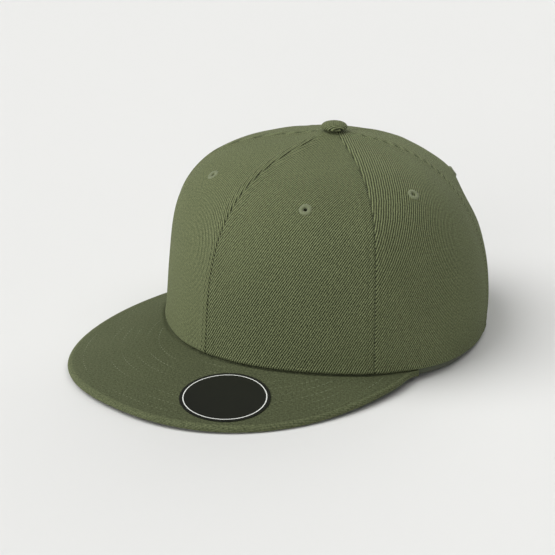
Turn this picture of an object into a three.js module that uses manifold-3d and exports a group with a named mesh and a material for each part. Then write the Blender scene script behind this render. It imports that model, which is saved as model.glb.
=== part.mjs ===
// A six-panel cap with a flat brim and a snap strap, standing by itself on a flat surface.
// Millimetres, +Z up. The brim points along -Y and the wearer's left is +X.
// The origin is on the surface, under the middle of the cap's box.

import * as THREE from 'three';
import { mergeVertices } from 'three/addons/utils/BufferGeometryUtils.js';
import Module from 'manifold-3d';

const wasm = await Module();
wasm.setup();

// Cloth thicknesses and the gap between pieces that are sewn together
const GAP = 0.3;
const PANEL_WALL = 1.8;
const PEAK_THICKNESS = 3.4;
const PEAK_NOSE = 1.7;
const SWEATBAND_WALL = 1.2;
const SWEATBAND_HEIGHT = 30;

// The crown is drawn by cross-sections through its vertical axis, which runs up through the button.
// A bearing is the angle round that axis from the front seam, positive towards the wearer's left.
const CROWN_HEIGHT = 110.5;
const CROWN_RADII = [
  { bearing: 0, radius: 99.5 },
  { bearing: 30, radius: 95.2 },
  { bearing: 60, radius: 91.7 },
  { bearing: 90, radius: 90.2 },
  { bearing: 120, radius: 90.1 },
  { bearing: 150, radius: 94.5 },
  { bearing: 180, radius: 95.0 },
];
// shoulder and wall are the two exponents of the section's rounded corner: the higher shoulder is,
// the flatter the top, and the higher wall is, the more upright the wall. tuck draws the rim in.
const CROWN_SECTIONS = [
  { bearing: 0, shoulder: 2.84, wall: 3.28, tuck: -0.029, rimHeight: 11.7 },
  { bearing: 60, shoulder: 2.45, wall: 5.09, tuck: -0.037, rimHeight: 8.5 },
  { bearing: 120, shoulder: 2.6, wall: 2.08, tuck: 0.058, rimHeight: 0.6 },
  { bearing: 180, shoulder: 2.09, wall: 2.98, tuck: 0.052, rimHeight: 0 },
];
// The side seams lean: they start nearer the front and back at the rim than they end at the top.
const SEAM_SWING_AT_RIM = -5.5;
const SEAM_SWING_GAIN = 3.8;
// Six layered seam allowances lift the cloth under the button, a little ahead of the axis.
const APEX_LIFT = 4.3;
const APEX_FORWARD = 2.4;
// Soft places in the stiff cloth: a bulge over the back eyelet and the hollow below it
const FOLDS = [
  { bearing: 154, height: 84, halfWidth: 16, halfHeight: 8, depth: 1.6 },
  { bearing: 147, height: 68, halfWidth: 22, halfHeight: 11, depth: -1.3 },
];

const PANELS = [
  { name: 'front_left', from: 0, to: 60 },
  { name: 'side_left', from: 60, to: 120 },
  { name: 'back_left', from: 120, to: 180 },
  { name: 'front_right', from: -60, to: 0 },
  { name: 'side_right', from: -120, to: -60 },
  { name: 'back_right', from: -180, to: -120 },
];
const PANEL_COLUMNS = 10;
const PANEL_ROWS = 18;
const APEX_HOLE_RADIUS = 2.6;

// Sewn eyelets: each one is a raised thread ring through its panel
const EYELETS = [
  { panel: 'front_left', bearing: 33.7, height: 93.3 },
  { panel: 'side_left', bearing: 80.1, height: 95.5 },
  { panel: 'back_left', bearing: 152, height: 82 },
  { panel: 'front_right', bearing: -28.1, height: 96.3 },
  { panel: 'side_right', bearing: -80.1, height: 95.5 },
  { panel: 'back_right', bearing: -152, height: 82 },
];
const EYELET_RADIUS = 3.4;
const EYELET_HOLE_RADIUS = 1.0;
const EYELET_PROUD = 0.5;
const EYELET_SIDES = 12;

// The brim's outer edge is a rounded arc in plan, and its height rises and falls along that arc.
const PEAK_HALF_WIDTH = 92.6;
const PEAK_REACH = 114.0;
const PEAK_RETURN = 65.2;
const PEAK_CENTRE_Y = -54.5;
const PEAK_ROUNDNESS = 2.31;
const PEAK_WRAP = 19.9;
const PEAK_RIM_BEARING = 74.8;
const PEAK_EDGE_HEIGHTS = [
  { along: 0, height: 4.95 },
  { along: 1 / 3, height: 3.8 },
  { along: 2 / 3, height: 4.3 },
  { along: 1, height: 6.9 },
];
const PEAK_COLUMNS = 50;
const PEAK_END = 0.99;
const PEAK_CORNER_POWER = 12;

// The round sticker on the brim, placed by its share of the way along and across the brim
const STICKER_ALONG = 0.272;
const STICKER_ACROSS = 0.53;
const STICKER_RADIUS = 23.5;
const STICKER_THICKNESS = 0.4;
const STICKER_RINGS = 3;
const STICKER_SIDES = 32;

// The arch cut through the back panels, and the strap that closes it from inside
const ARCH_WIDTH = 68;
const ARCH_HEIGHT = 44;
const ARCH_SEGMENTS = 20;
const SWEATBAND_END = 147;
const SWEATBAND_COLUMNS = 48;
const STRAP_END = 148.5;
const STRAP_BASE = 2;
const STRAP_HEIGHT = 17;
const STRAP_WALL = 1.5;
const STRAP_OVERLAP_HALF_WIDTH = 27;
const SNAP_COUNT = 7;
const SNAP_PITCH = 7.6;
const SNAP_RADIUS = 2.6;
const SNAP_HEIGHT = 1.1;

const BUTTON_RADIUS = 7.4;
const BUTTON_HEIGHT = 3.4;
const BUTTON_EDGE_HEIGHT = 0.9;
const BUTTON_POST_RADIUS = 2.3;
const BUTTON_POST_LENGTH = 4;

const CLOTH = { color: 0x6b7455, roughness: 0.92, metalness: 0 };
const DARK_CLOTH = { color: 0x565e44, roughness: 0.94, metalness: 0 };
const STRAP_PLASTIC = { color: 0x4f573f, roughness: 0.5, metalness: 0 };
const STICKER_FILM = { color: 0x101110, roughness: 0.35, metalness: 0 };

// Closed solids from grids

// A closed body between two grids of points. near and far are lists of rows of Vector3.
function slabGeometry(near, far) {
  const rows = near.length;
  const columns = near[0].length;
  const positions = [];
  for (const grid of [near, far]) {
    for (const point of grid.flat()) positions.push(point.x, point.y, point.z);
  }
  const indices = [];
  const quad = (a, b, c, d) => indices.push(a, b, c, a, c, d);
  const nearAt = (row, column) => row * columns + column;
  const farAt = (row, column) => rows * columns + nearAt(row, column);
  for (let row = 0; row + 1 < rows; row += 1) {
    for (let column = 0; column + 1 < columns; column += 1) {
      const [up, across] = [row + 1, column + 1];
      quad(nearAt(row, column), nearAt(row, across), nearAt(up, across), nearAt(up, column));
      quad(farAt(row, column), farAt(up, column), farAt(up, across), farAt(row, across));
    }
  }
  for (let row = 0; row + 1 < rows; row += 1) {
    const last = columns - 1;
    quad(nearAt(row, 0), nearAt(row + 1, 0), farAt(row + 1, 0), farAt(row, 0));
    quad(nearAt(row, last), farAt(row, last), farAt(row + 1, last), nearAt(row + 1, last));
  }
  for (let column = 0; column + 1 < columns; column += 1) {
    const last = rows - 1;
    quad(nearAt(0, column), farAt(0, column), farAt(0, column + 1), nearAt(0, column + 1));
    quad(nearAt(last, column), nearAt(last, column + 1), farAt(last, column + 1), farAt(last, column));
  }
  return indexedGeometry(positions, indices);
}

// A closed body swept through a list of closed loops of points, with flat ends
function loftGeometry(loops) {
  const sides = loops[0].length;
  const positions = loops.flat().flatMap((point) => [point.x, point.y, point.z]);
  const indices = [];
  for (let loop = 0; loop + 1 < loops.length; loop += 1) {
    for (let side = 0; side < sides; side += 1) {
      const a = loop * sides + side;
      const b = loop * sides + ((side + 1) % sides);
      indices.push(a, b, b + sides, a, b + sides, a + sides);
    }
  }
  const last = (loops.length - 1) * sides;
  const half = sides / 2;
  for (let side = 0; side + 1 < half; side += 1) {
    const opposite = sides - 1 - side;
    indices.push(side, opposite, opposite - 1, side, opposite - 1, side + 1);
    indices.push(last + side, last + opposite - 1, last + opposite);
    indices.push(last + side, last + side + 1, last + opposite - 1);
  }
  return indexedGeometry(positions, indices);
}

function indexedGeometry(positions, indices) {
  const geometry = new THREE.BufferGeometry();
  geometry.setAttribute('position', new THREE.Float32BufferAttribute(positions, 3));
  geometry.setIndex(indices);
  return geometry;
}

// Boolean joins and cuts

function toSolid(geometry) {
  const bare = geometry.clone();
  bare.deleteAttribute('normal');
  bare.deleteAttribute('uv');
  const merged = mergeVertices(bare, 1e-4);
  const mesh = new wasm.Mesh({
    numProp: 3,
    vertProperties: merged.attributes.position.array,
    triVerts: new Uint32Array(merged.index.array),
  });
  return new wasm.Manifold(mesh);
}

function toGeometry(solid) {
  const mesh = solid.getMesh();
  return indexedGeometry(Array.from(mesh.vertProperties), Array.from(mesh.triVerts));
}

// The crown's surface

// A smooth even curve through values given at equal steps from 0 to 180 degrees
function smoothRound(values, bearing) {
  const last = values.length - 1;
  const angle = THREE.MathUtils.degToRad(bearing);
  let total = 0;
  for (let order = 0; order <= last; order += 1) {
    let weight = 0;
    values.forEach((value, step) => {
      const share = step === 0 || step === last ? 0.5 : 1;
      weight += share * value * Math.cos((Math.PI * step * order) / last);
    });
    const end = order === 0 || order === last ? 0.5 : 1;
    total += ((end * 2) / last) * weight * Math.cos(order * angle);
  }
  return total;
}

const column = (table, name) => table.map((row) => row[name]);
const crownRadius = (bearing) => smoothRound(column(CROWN_RADII, 'radius'), bearing);
const crownShoulder = (bearing) => smoothRound(column(CROWN_SECTIONS, 'shoulder'), bearing);
const crownWall = (bearing) => smoothRound(column(CROWN_SECTIONS, 'wall'), bearing);
const crownTuck = (bearing) => smoothRound(column(CROWN_SECTIONS, 'tuck'), bearing);
const rimHeight = (bearing) => Math.max(0, smoothRound(column(CROWN_SECTIONS, 'rimHeight'), bearing));

// How far out (reach) and up (climb) the section is, each from 0 to 1, in the direction
// slant: 0 is level at the rim and 1 is straight up at the apex.
function sectionPoint(bearing, slant) {
  const shoulder = crownShoulder(bearing);
  const wall = crownWall(bearing);
  const across = Math.cos((slant * Math.PI) / 2);
  const up = Math.sin((slant * Math.PI) / 2);
  let near = 0.5;
  let far = 1.5;
  for (let step = 0; step < 40; step += 1) {
    const middle = (near + far) / 2;
    const inside = (middle * across) ** shoulder + (middle * up) ** wall < 1;
    if (inside) near = middle;
    else far = middle;
  }
  return { reach: near * across, climb: near * up };
}

function foldDepth(bearing, radius, height) {
  return FOLDS.reduce((total, fold) => {
    const sideways = (THREE.MathUtils.degToRad(bearing - fold.bearing) * radius) / fold.halfWidth;
    const upwards = (height - fold.height) / fold.halfHeight;
    return total + fold.depth * Math.exp(-(sideways ** 2) - upwards ** 2);
  }, 0);
}

// The outside of the cloth
function crownPoint(bearing, slant) {
  const { reach, climb } = sectionPoint(bearing, slant);
  const rise = Math.asin(Math.min(1, climb ** (crownWall(bearing) / 2))) / (Math.PI / 2);
  const rim = rimHeight(bearing);
  const height = rim + (CROWN_HEIGHT - rim) * climb + APEX_LIFT * rise ** 10;
  const plainRadius = crownRadius(bearing) * reach * (1 - crownTuck(bearing) * (1 - climb) ** 3);
  const radius = plainRadius + foldDepth(bearing, plainRadius, height);
  const lean = SEAM_SWING_AT_RIM + SEAM_SWING_GAIN * rise;
  const swing = lean * Math.sin(THREE.MathUtils.degToRad(2 * bearing));
  const direction = THREE.MathUtils.degToRad(bearing + swing);
  const forward = APEX_FORWARD * rise ** 4;
  return new THREE.Vector3(radius * Math.sin(direction), -radius * Math.cos(direction) - forward, height);
}

function crownNormal(bearing, slant) {
  const step = 1e-3;
  const low = Math.max(0, slant - step);
  const high = Math.min(1 - step, slant + step);
  const around = crownPoint(bearing + 0.1, slant).sub(crownPoint(bearing - 0.1, slant));
  const upwards = crownPoint(bearing, high).sub(crownPoint(bearing, low));
  return around.cross(upwards).normalize();
}

// A point inside the cloth, depth below its outside. At the rim the depth is measured level,
// so that the rim's lower face is flat.
function clothPoint(bearing, slant, depth) {
  const normal = crownNormal(bearing, slant);
  normal.z *= Math.min(1, slant / 0.12);
  normal.normalize();
  return crownPoint(bearing, slant).addScaledVector(normal, -depth);
}

// The slant at which the section is a given distance from the axis
function slantAtRadius(bearing, radius) {
  const reach = radius / crownRadius(bearing);
  const climb = (1 - reach ** crownShoulder(bearing)) ** (1 / crownWall(bearing));
  return Math.atan2(climb, reach) / (Math.PI / 2);
}

// The slant at which the outside reaches a given height
function slantAtHeight(bearing, height) {
  let low = 0;
  let high = 0.9;
  for (let step = 0; step < 30; step += 1) {
    const middle = (low + high) / 2;
    if (crownPoint(bearing, middle).z < height) low = middle;
    else high = middle;
  }
  return low;
}

const steps = (count) => Array.from({ length: count + 1 }, (_, index) => index / count);

// A stretch of the crown's cloth between two depths
function clothSheet({ rows, columns, slantAt, bearingAt, outer, inner }) {
  const grid = (depth) =>
    steps(rows).map((up) =>
      steps(columns).map((across) => {
        const bearing = bearingAt(across, up);
        return clothPoint(bearing, slantAt(bearing, up), depth);
      }),
    );
  return slabGeometry(grid(outer), grid(inner));
}

// Panels, with their eyelet holes and the arch

function panelSlant(bearing, up) {
  return up * slantAtRadius(bearing, APEX_HOLE_RADIUS);
}

function panelBearing(panel, across, up) {
  const middle = (panel.from + panel.to) / 2;
  const slant = panelSlant(middle, up);
  const radius = crownRadius(middle) * sectionPoint(middle, slant).reach;
  const margin = THREE.MathUtils.radToDeg(GAP / 2 / Math.max(radius, APEX_HOLE_RADIUS));
  return THREE.MathUtils.lerp(panel.from + margin, panel.to - margin, across);
}

function eyeletPose(eyelet) {
  const slant = slantAtHeight(eyelet.bearing, eyelet.height);
  const normal = crownNormal(eyelet.bearing, slant);
  return {
    position: crownPoint(eyelet.bearing, slant),
    quaternion: new THREE.Quaternion().setFromUnitVectors(new THREE.Vector3(0, 0, 1), normal),
  };
}

function eyeletCutter(eyelet) {
  const radius = EYELET_RADIUS + GAP;
  const cylinder = new THREE.CylinderGeometry(radius, radius, 4 * PANEL_WALL, EYELET_SIDES);
  cylinder.rotateX(Math.PI / 2);
  const { position, quaternion } = eyeletPose(eyelet);
  cylinder.applyQuaternion(quaternion);
  cylinder.translate(position.x, position.y, position.z);
  return toSolid(cylinder);
}

function archCutter() {
  const below = 5;
  const reach = 60;
  const outline = new THREE.Shape();
  outline.moveTo(-ARCH_WIDTH / 2, -below);
  outline.lineTo(ARCH_WIDTH / 2, -below);
  outline.lineTo(ARCH_WIDTH / 2, 0);
  outline.absellipse(0, 0, ARCH_WIDTH / 2, ARCH_HEIGHT, 0, Math.PI, false);
  const extent = { depth: reach, bevelEnabled: false, curveSegments: ARCH_SEGMENTS };
  const block = new THREE.ExtrudeGeometry(outline, extent);
  block.rotateX(Math.PI / 2);
  block.translate(0, crownRadius(180) + reach / 2, 0);
  return toSolid(block);
}

function panelGeometry(panel) {
  const sheet = clothSheet({
    rows: PANEL_ROWS,
    columns: PANEL_COLUMNS,
    slantAt: panelSlant,
    bearingAt: (across, up) => panelBearing(panel, across, up),
    outer: 0,
    inner: PANEL_WALL,
  });
  const eyelet = EYELETS.find((row) => row.panel === panel.name);
  let solid = toSolid(sheet).subtract(eyeletCutter(eyelet));
  if (panel.name.startsWith('back')) solid = solid.subtract(archCutter());
  return toGeometry(solid);
}

function eyeletGeometry() {
  const outline = [
    [EYELET_HOLE_RADIUS, -PANEL_WALL],
    [EYELET_RADIUS, -PANEL_WALL],
    [EYELET_RADIUS, EYELET_PROUD * 0.3],
    [EYELET_RADIUS - 0.5, EYELET_PROUD * 0.9],
    [(EYELET_RADIUS + EYELET_HOLE_RADIUS) / 2, EYELET_PROUD],
    [EYELET_HOLE_RADIUS + 0.3, EYELET_PROUD * 0.7],
    [EYELET_HOLE_RADIUS, 0],
    [EYELET_HOLE_RADIUS, -PANEL_WALL],
  ].map(([radius, height]) => new THREE.Vector2(radius, height));
  const ring = new THREE.LatheGeometry(outline, EYELET_SIDES);
  ring.rotateX(Math.PI / 2);
  return ring;
}

// The button, a flattened cloth dome on a plain post through the crown's apex

function buttonGeometry() {
  const dome = steps(6).map((step) => {
    const angle = (step * Math.PI) / 2;
    const height = BUTTON_EDGE_HEIGHT + (BUTTON_HEIGHT - BUTTON_EDGE_HEIGHT) * Math.sin(angle);
    return new THREE.Vector2(BUTTON_RADIUS * Math.cos(angle), height);
  });
  dome.at(-1).x = 0;
  const outline = [
    new THREE.Vector2(0, -BUTTON_POST_LENGTH),
    new THREE.Vector2(BUTTON_POST_RADIUS, -BUTTON_POST_LENGTH),
    new THREE.Vector2(BUTTON_POST_RADIUS, 0),
    new THREE.Vector2(BUTTON_RADIUS - BUTTON_EDGE_HEIGHT, 0),
    ...dome,
  ];
  const turned = new THREE.LatheGeometry(outline, 20);
  turned.rotateX(Math.PI / 2);
  return turned;
}

// The brim

const signedPower = (value, power) => Math.sign(value) * Math.abs(value) ** power;

// The rim that the brim is sewn under, where along runs from -1 on the right to 1 on the left
function peakRimPoint(along, depth) {
  const point = clothPoint(along * PEAK_RIM_BEARING, 0, depth);
  point.z -= GAP;
  return point;
}

function peakEdgePoint(along) {
  const turn = THREE.MathUtils.degToRad(90 - along * (90 + PEAK_WRAP));
  const reach = Math.sin(turn) > 0 ? PEAK_REACH : PEAK_RETURN;
  const heights = column(PEAK_EDGE_HEIGHTS, 'height');
  const edge = new THREE.Vector3(
    PEAK_HALF_WIDTH * signedPower(Math.cos(turn), 2 / PEAK_ROUNDNESS),
    PEAK_CENTRE_Y - reach * signedPower(Math.sin(turn), 2 / PEAK_ROUNDNESS),
    smoothRound(heights, along * 180),
  );
  return edge.lerp(peakRimPoint(along, 0), Math.abs(along) ** PEAK_CORNER_POWER);
}

// The brim's top: across is 0 at the rim and 1 at the outer edge
function peakTopPoint(along, across) {
  return peakRimPoint(along, 0).lerp(peakEdgePoint(along), across);
}

function peakLoop(along) {
  const width = peakRimPoint(along, 0).distanceTo(peakEdgePoint(along));
  const nose = Math.min(PEAK_NOSE, 0.45 * width) / width;
  const down = (point, drop) => point.clone().setZ(point.z - drop);
  const tops = [0, 1 / 3, 2 / 3, 1].map((share) => peakTopPoint(along, share * (1 - nose)));
  const inside = peakRimPoint(along, PANEL_WALL);
  const rounds = [30, 60, 120, 150].map((degrees) => {
    const angle = THREE.MathUtils.degToRad(degrees);
    const point = peakTopPoint(along, 1 - nose + nose * Math.sin(angle));
    return down(point, (PEAK_THICKNESS * (1 - Math.cos(angle))) / 2);
  });
  const top = [inside, ...tops];
  const bottom = top.map((point) => down(point, PEAK_THICKNESS)).reverse();
  return [...top, ...rounds, ...bottom];
}

function peakGeometry() {
  return loftGeometry(steps(PEAK_COLUMNS).map((step) => peakLoop(PEAK_END * (2 * step - 1))));
}

// The sticker lies on the brim, so its points are dropped onto the brim's top.

function stickerGeometry(peak) {
  const down = new THREE.Vector3(0, 0, -1);
  const centre = peakTopPoint(STICKER_ALONG, STICKER_ACROSS);
  const grid = (height) =>
    steps(STICKER_RINGS).map((ring) =>
      steps(STICKER_SIDES).map((turn) => {
        const angle = turn * 2 * Math.PI;
        const reach = Math.max(ring, 0.02) * STICKER_RADIUS;
        const start = centre.clone();
        start.x += reach * Math.cos(angle);
        start.y += reach * Math.sin(angle);
        start.z += 50;
        const [hit] = new THREE.Raycaster(start, down).intersectObject(peak);
        return hit.point.setZ(hit.point.z + height);
      }),
    );
  return discGeometry(grid(GAP + STICKER_THICKNESS), grid(GAP));
}

// A closed disc from two polar grids whose first ring is shrunk to its centre
function discGeometry(top, bottom) {
  const middle = (ring) => {
    const total = ring.reduce((sum, point) => sum.add(point), new THREE.Vector3());
    return total.divideScalar(ring.length);
  };
  const positions = [];
  const indices = [];
  const addPoint = (point) => {
    positions.push(point.x, point.y, point.z);
    return positions.length / 3 - 1;
  };
  const [topRings, bottomRings] = [top, bottom].map((grid) => {
    const open = grid.map((ring) => ring.slice(0, -1));
    return { centre: addPoint(middle(open[0])), rings: open.slice(1).map((ring) => ring.map(addPoint)) };
  });
  const next = (ring, side) => ring[(side + 1) % ring.length];
  for (let side = 0; side < topRings.rings[0].length; side += 1) {
    indices.push(topRings.centre, topRings.rings[0][side], next(topRings.rings[0], side));
    indices.push(bottomRings.centre, next(bottomRings.rings[0], side), bottomRings.rings[0][side]);
    for (let ring = 0; ring + 1 < topRings.rings.length; ring += 1) {
      const [a, b] = [topRings.rings[ring], topRings.rings[ring + 1]];
      indices.push(a[side], b[side], next(b, side), a[side], next(b, side), next(a, side));
      const [c, d] = [bottomRings.rings[ring], bottomRings.rings[ring + 1]];
      indices.push(c[side], next(d, side), d[side], c[side], next(c, side), next(d, side));
    }
    const [a, b] = [topRings.rings.at(-1), bottomRings.rings.at(-1)];
    indices.push(a[side], b[side], next(b, side), a[side], next(b, side), next(a, side));
  }
  return indexedGeometry(positions, indices);
}

// The sweatband follows the inside of the crown and hangs past the brim's sewn edge in front.

function sweatbandGeometry() {
  const outer = PANEL_WALL + GAP;
  const lowest = 0.6;
  const loop = (bearing) => {
    const bottom = Math.max(lowest, rimHeight(bearing) - GAP - PEAK_THICKNESS);
    const heights = [1 / 3, 2 / 3, 1].map((share) => rimHeight(bearing) + share * SWEATBAND_HEIGHT);
    const wall = (depth) => {
      const base = clothPoint(bearing, 0, depth);
      const points = heights.map((height) => clothPoint(bearing, slantAtHeight(bearing, height), depth));
      return [base.clone().setZ(bottom), base.setZ(Math.max(base.z, bottom + 0.2)), ...points];
    };
    return [...wall(outer), ...wall(outer + SWEATBAND_WALL).reverse()];
  };
  return loftGeometry(steps(SWEATBAND_COLUMNS).map((step) => loop(SWEATBAND_END * (1 - 2 * step))));
}

// The closed snap strap: a band inside the arch, its overlapping end outside it, and the snaps

function strapPoint(bearing, depth, height) {
  return clothPoint(bearing, slantAtHeight(bearing, height), depth);
}

function strapLayer(from, to, outer, inner, columns) {
  const grid = (depth) =>
    steps(2).map((up) =>
      steps(columns).map((across) =>
        strapPoint(THREE.MathUtils.lerp(from, to, across), depth, STRAP_BASE + up * STRAP_HEIGHT),
      ),
    );
  return toSolid(slabGeometry(grid(outer), grid(inner)));
}

function snapSolid(offset, depth) {
  const bearing = 180 + THREE.MathUtils.radToDeg(offset / crownRadius(180));
  const height = STRAP_BASE + STRAP_HEIGHT / 2;
  const centre = strapPoint(bearing, depth, height);
  const outwards = centre.clone().sub(strapPoint(bearing, depth + 1, height)).normalize();
  const outline = [
    [0, -0.5],
    [SNAP_RADIUS, -0.5],
    [SNAP_RADIUS, SNAP_HEIGHT * 0.6],
    [SNAP_RADIUS * 0.7, SNAP_HEIGHT],
    [0, SNAP_HEIGHT],
  ].map(([radius, level]) => new THREE.Vector2(radius, level));
  const stud = new THREE.LatheGeometry(outline, 12);
  stud.applyQuaternion(new THREE.Quaternion().setFromUnitVectors(new THREE.Vector3(0, 1, 0), outwards));
  stud.translate(centre.x, centre.y, centre.z);
  return toSolid(stud);
}

function strapGeometry() {
  const inner = PANEL_WALL + GAP;
  const overlapAngle = THREE.MathUtils.radToDeg(STRAP_OVERLAP_HALF_WIDTH / crownRadius(180));
  const overlapDepth = inner - STRAP_WALL;
  let strap = strapLayer(STRAP_END, 360 - STRAP_END, inner, inner + STRAP_WALL, 18);
  strap = strap.add(strapLayer(180 - overlapAngle, 180 + overlapAngle, overlapDepth, inner + 0.3, 12));
  for (let snap = 0; snap < SNAP_COUNT; snap += 1) {
    const offset = (snap - (SNAP_COUNT - 1) / 2) * SNAP_PITCH;
    strap = strap.add(snapSolid(offset, overlapDepth));
  }
  return toGeometry(strap);
}

// The scene graph

function piece(name, geometry, finish) {
  const mesh = new THREE.Mesh(geometry, new THREE.MeshStandardMaterial(finish));
  mesh.name = name;
  geometry.computeVertexNormals();
  return mesh;
}

const cap = new THREE.Group();
const crown = new THREE.Group();
const brim = new THREE.Group();
cap.add(crown, brim);

for (const panel of PANELS) {
  crown.add(piece(`panel_${panel.name}`, panelGeometry(panel), CLOTH));
}
for (const eyelet of EYELETS) {
  const ring = piece(`eyelet_${eyelet.panel}`, eyeletGeometry(), CLOTH);
  const { position, quaternion } = eyeletPose(eyelet);
  ring.position.copy(position);
  ring.quaternion.copy(quaternion);
  crown.add(ring);
}

const button = piece('top_button', buttonGeometry(), CLOTH);
const apexHeights = column(CROWN_SECTIONS, 'bearing').map((bearing) => {
  return crownPoint(bearing, slantAtRadius(bearing, APEX_HOLE_RADIUS)).z;
});
button.position.set(0, -APEX_FORWARD, Math.max(...apexHeights) + GAP);
crown.add(button);

crown.add(piece('sweatband', sweatbandGeometry(), DARK_CLOTH));
crown.add(piece('rear_strap', strapGeometry(), STRAP_PLASTIC));

const peak = piece('peak', peakGeometry(), DARK_CLOTH);
brim.add(peak);
brim.add(piece('peak_sticker', stickerGeometry(peak), STICKER_FILM));

// The cap stands on the surface with the origin under the middle of its box.
const box = new THREE.Box3().setFromObject(cap);
const middle = box.getCenter(new THREE.Vector3());
cap.position.set(-middle.x, -middle.y, -box.min.z);
cap.updateMatrixWorld(true);

export default cap;
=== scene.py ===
"""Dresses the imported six-panel cap: twill panels, seams and stitches, eyelets, button, brim and closure.

Lengths inside the shape functions are millimetres, in the crown's own frame: the crown's axis is
upright through x = 0, y = 0, the brim points along -Y and the wearer's left is +X. A bearing is in
degrees from the front towards the wearer's left. A slant is 0 at the crown's rim and 1 at its apex.
"""

import functools
import math

import bmesh
import bpy
import numpy as np
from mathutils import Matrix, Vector


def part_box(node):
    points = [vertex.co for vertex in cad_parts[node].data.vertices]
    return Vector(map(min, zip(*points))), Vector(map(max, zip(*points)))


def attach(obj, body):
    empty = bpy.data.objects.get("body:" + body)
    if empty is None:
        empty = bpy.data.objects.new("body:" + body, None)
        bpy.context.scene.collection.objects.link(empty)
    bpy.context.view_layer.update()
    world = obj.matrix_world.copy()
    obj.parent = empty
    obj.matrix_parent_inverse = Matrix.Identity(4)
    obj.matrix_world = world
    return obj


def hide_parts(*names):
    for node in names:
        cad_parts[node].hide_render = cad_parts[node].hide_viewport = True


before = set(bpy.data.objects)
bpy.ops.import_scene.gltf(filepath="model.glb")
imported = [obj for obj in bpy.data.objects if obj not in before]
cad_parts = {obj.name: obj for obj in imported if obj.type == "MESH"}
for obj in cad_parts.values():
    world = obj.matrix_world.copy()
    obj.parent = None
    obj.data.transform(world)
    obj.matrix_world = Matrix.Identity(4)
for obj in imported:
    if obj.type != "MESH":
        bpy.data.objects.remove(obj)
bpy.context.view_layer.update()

bl_info = {
    "name": "Six-panel cap",
    "version": (1, 0, 0),
    "blender": (4, 5, 0),
    "location": "3D View > Sidebar > Cap",
    "description": "Models and dresses a six-panel cap with a flat brim",
    "category": "Object",
}

MM = 0.001

# The crown's sections, each at its bearing from the front seam in even steps up to 180 degrees
CROWN_HEIGHT = 110.5
CROWN_RADII = np.array([99.5, 95.2, 91.7, 90.2, 90.1, 94.5, 95.0])
CROWN_SHOULDERS = np.array([2.84, 2.45, 2.6, 2.09])
CROWN_WALLS = np.array([3.28, 5.09, 2.08, 2.98])
CROWN_TUCKS = np.array([-0.029, -0.037, 0.058, 0.052])
RIM_HEIGHTS = np.array([11.7, 8.5, 0.6, 0.0])
SEAM_SWING_AT_RIM = -5.5
SEAM_SWING_GAIN = 3.8
APEX_LIFT = 4.3
APEX_FORWARD = 2.4
APEX_HOLE_RADIUS = 2.6
APEX_SHARPNESS = 10
APEX_FORWARD_POWER = 4
TUCK_POWER = 3
# Below this slant the cloth's depth is measured level.
LEVEL_ZONE = 0.12
BEARING_STEP = 0.1
SLANT_STEP = 0.001

# Soft places in the stiff cloth, with their half sizes
FOLDS = [
    {"bearing": 154, "height": 84, "half_width": 16, "half_height": 8, "depth": 1.6},
    {"bearing": 147, "height": 68, "half_width": 22, "half_height": 11, "depth": -1.3},
]

# The six panels: each starts at a bearing, its cloth's grain is turned by some degrees, and it is sewn to
# the brim or to the panel before it. The wearer's right-hand panels are cut the other way round.
PANELS = [
    {
        "name": name, "start": start, "end": start + 60, "grain": grain,
        "mirrored": name.endswith("right"), "sewn_to": sewn_to,
    }
    for name, start, grain, sewn_to in (
        ("front_left", 0, 0, "peak"),
        ("side_left", 60, -4, "panel_front_left_cloth"),
        ("back_left", 120, -4, "panel_side_left_cloth"),
        ("front_right", -60, 0, "peak"),
        ("side_right", -120, -4, "panel_front_right_cloth"),
        ("back_right", -180, -4, "panel_side_right_cloth"),
    )
]

# Each panel's eyelet: its bearing and its height
EYELETS = {
    "front_left": (33.7, 93.3),
    "side_left": (80.1, 95.5),
    "back_left": (152, 82),
    "front_right": (-28.1, 96.3),
    "side_right": (-80.1, 95.5),
    "back_right": (-152, 82),
}

ARCH_HALF_WIDTH = 34
ARCH_HEIGHT = 44

PEAK_HALF_WIDTH = 92.6
PEAK_REACH = 114.0
PEAK_RETURN = 65.2
PEAK_CENTRE_Y = -54.5
PEAK_ROUNDNESS = 2.31
PEAK_WRAP = 19.9
PEAK_RIM_BEARING = 74.8
PEAK_EDGE_HEIGHTS = np.array([4.95, 3.8, 4.3, 6.9])
PEAK_THICKNESS = 3.4
PEAK_NOSE = 1.7
PEAK_CORNER_POWER = 12
PEAK_END = 0.99
GAP = 0.3

STICKER_ALONG = 0.272
STICKER_ACROSS = 0.53
STICKER_RADIUS = 23.5

SWEATBAND_END = 147
STRAP_END = 148.5
STRAP_BASE = 2
STRAP_HEIGHT = 17
STRAP_OVERLAP_HALF_WIDTH = 27
SNAP_COUNT = 7
SNAP_PITCH = 7.6

# The button sits on the crown's apex, so it gives the place of the crown's axis in the frame.
BUTTON_LOW, BUTTON_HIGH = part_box("top_button")
AXIS_Y = (BUTTON_LOW.y + BUTTON_HIGH.y) / 2 / MM + APEX_FORWARD


def length_setting(name, description, metres):
    return bpy.props.FloatProperty(name=name, description=description, default=metres, unit="LENGTH")


def colour_setting(name, description, hex_colour):
    return bpy.props.StringProperty(name=name, description=description, default=hex_colour)


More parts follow.
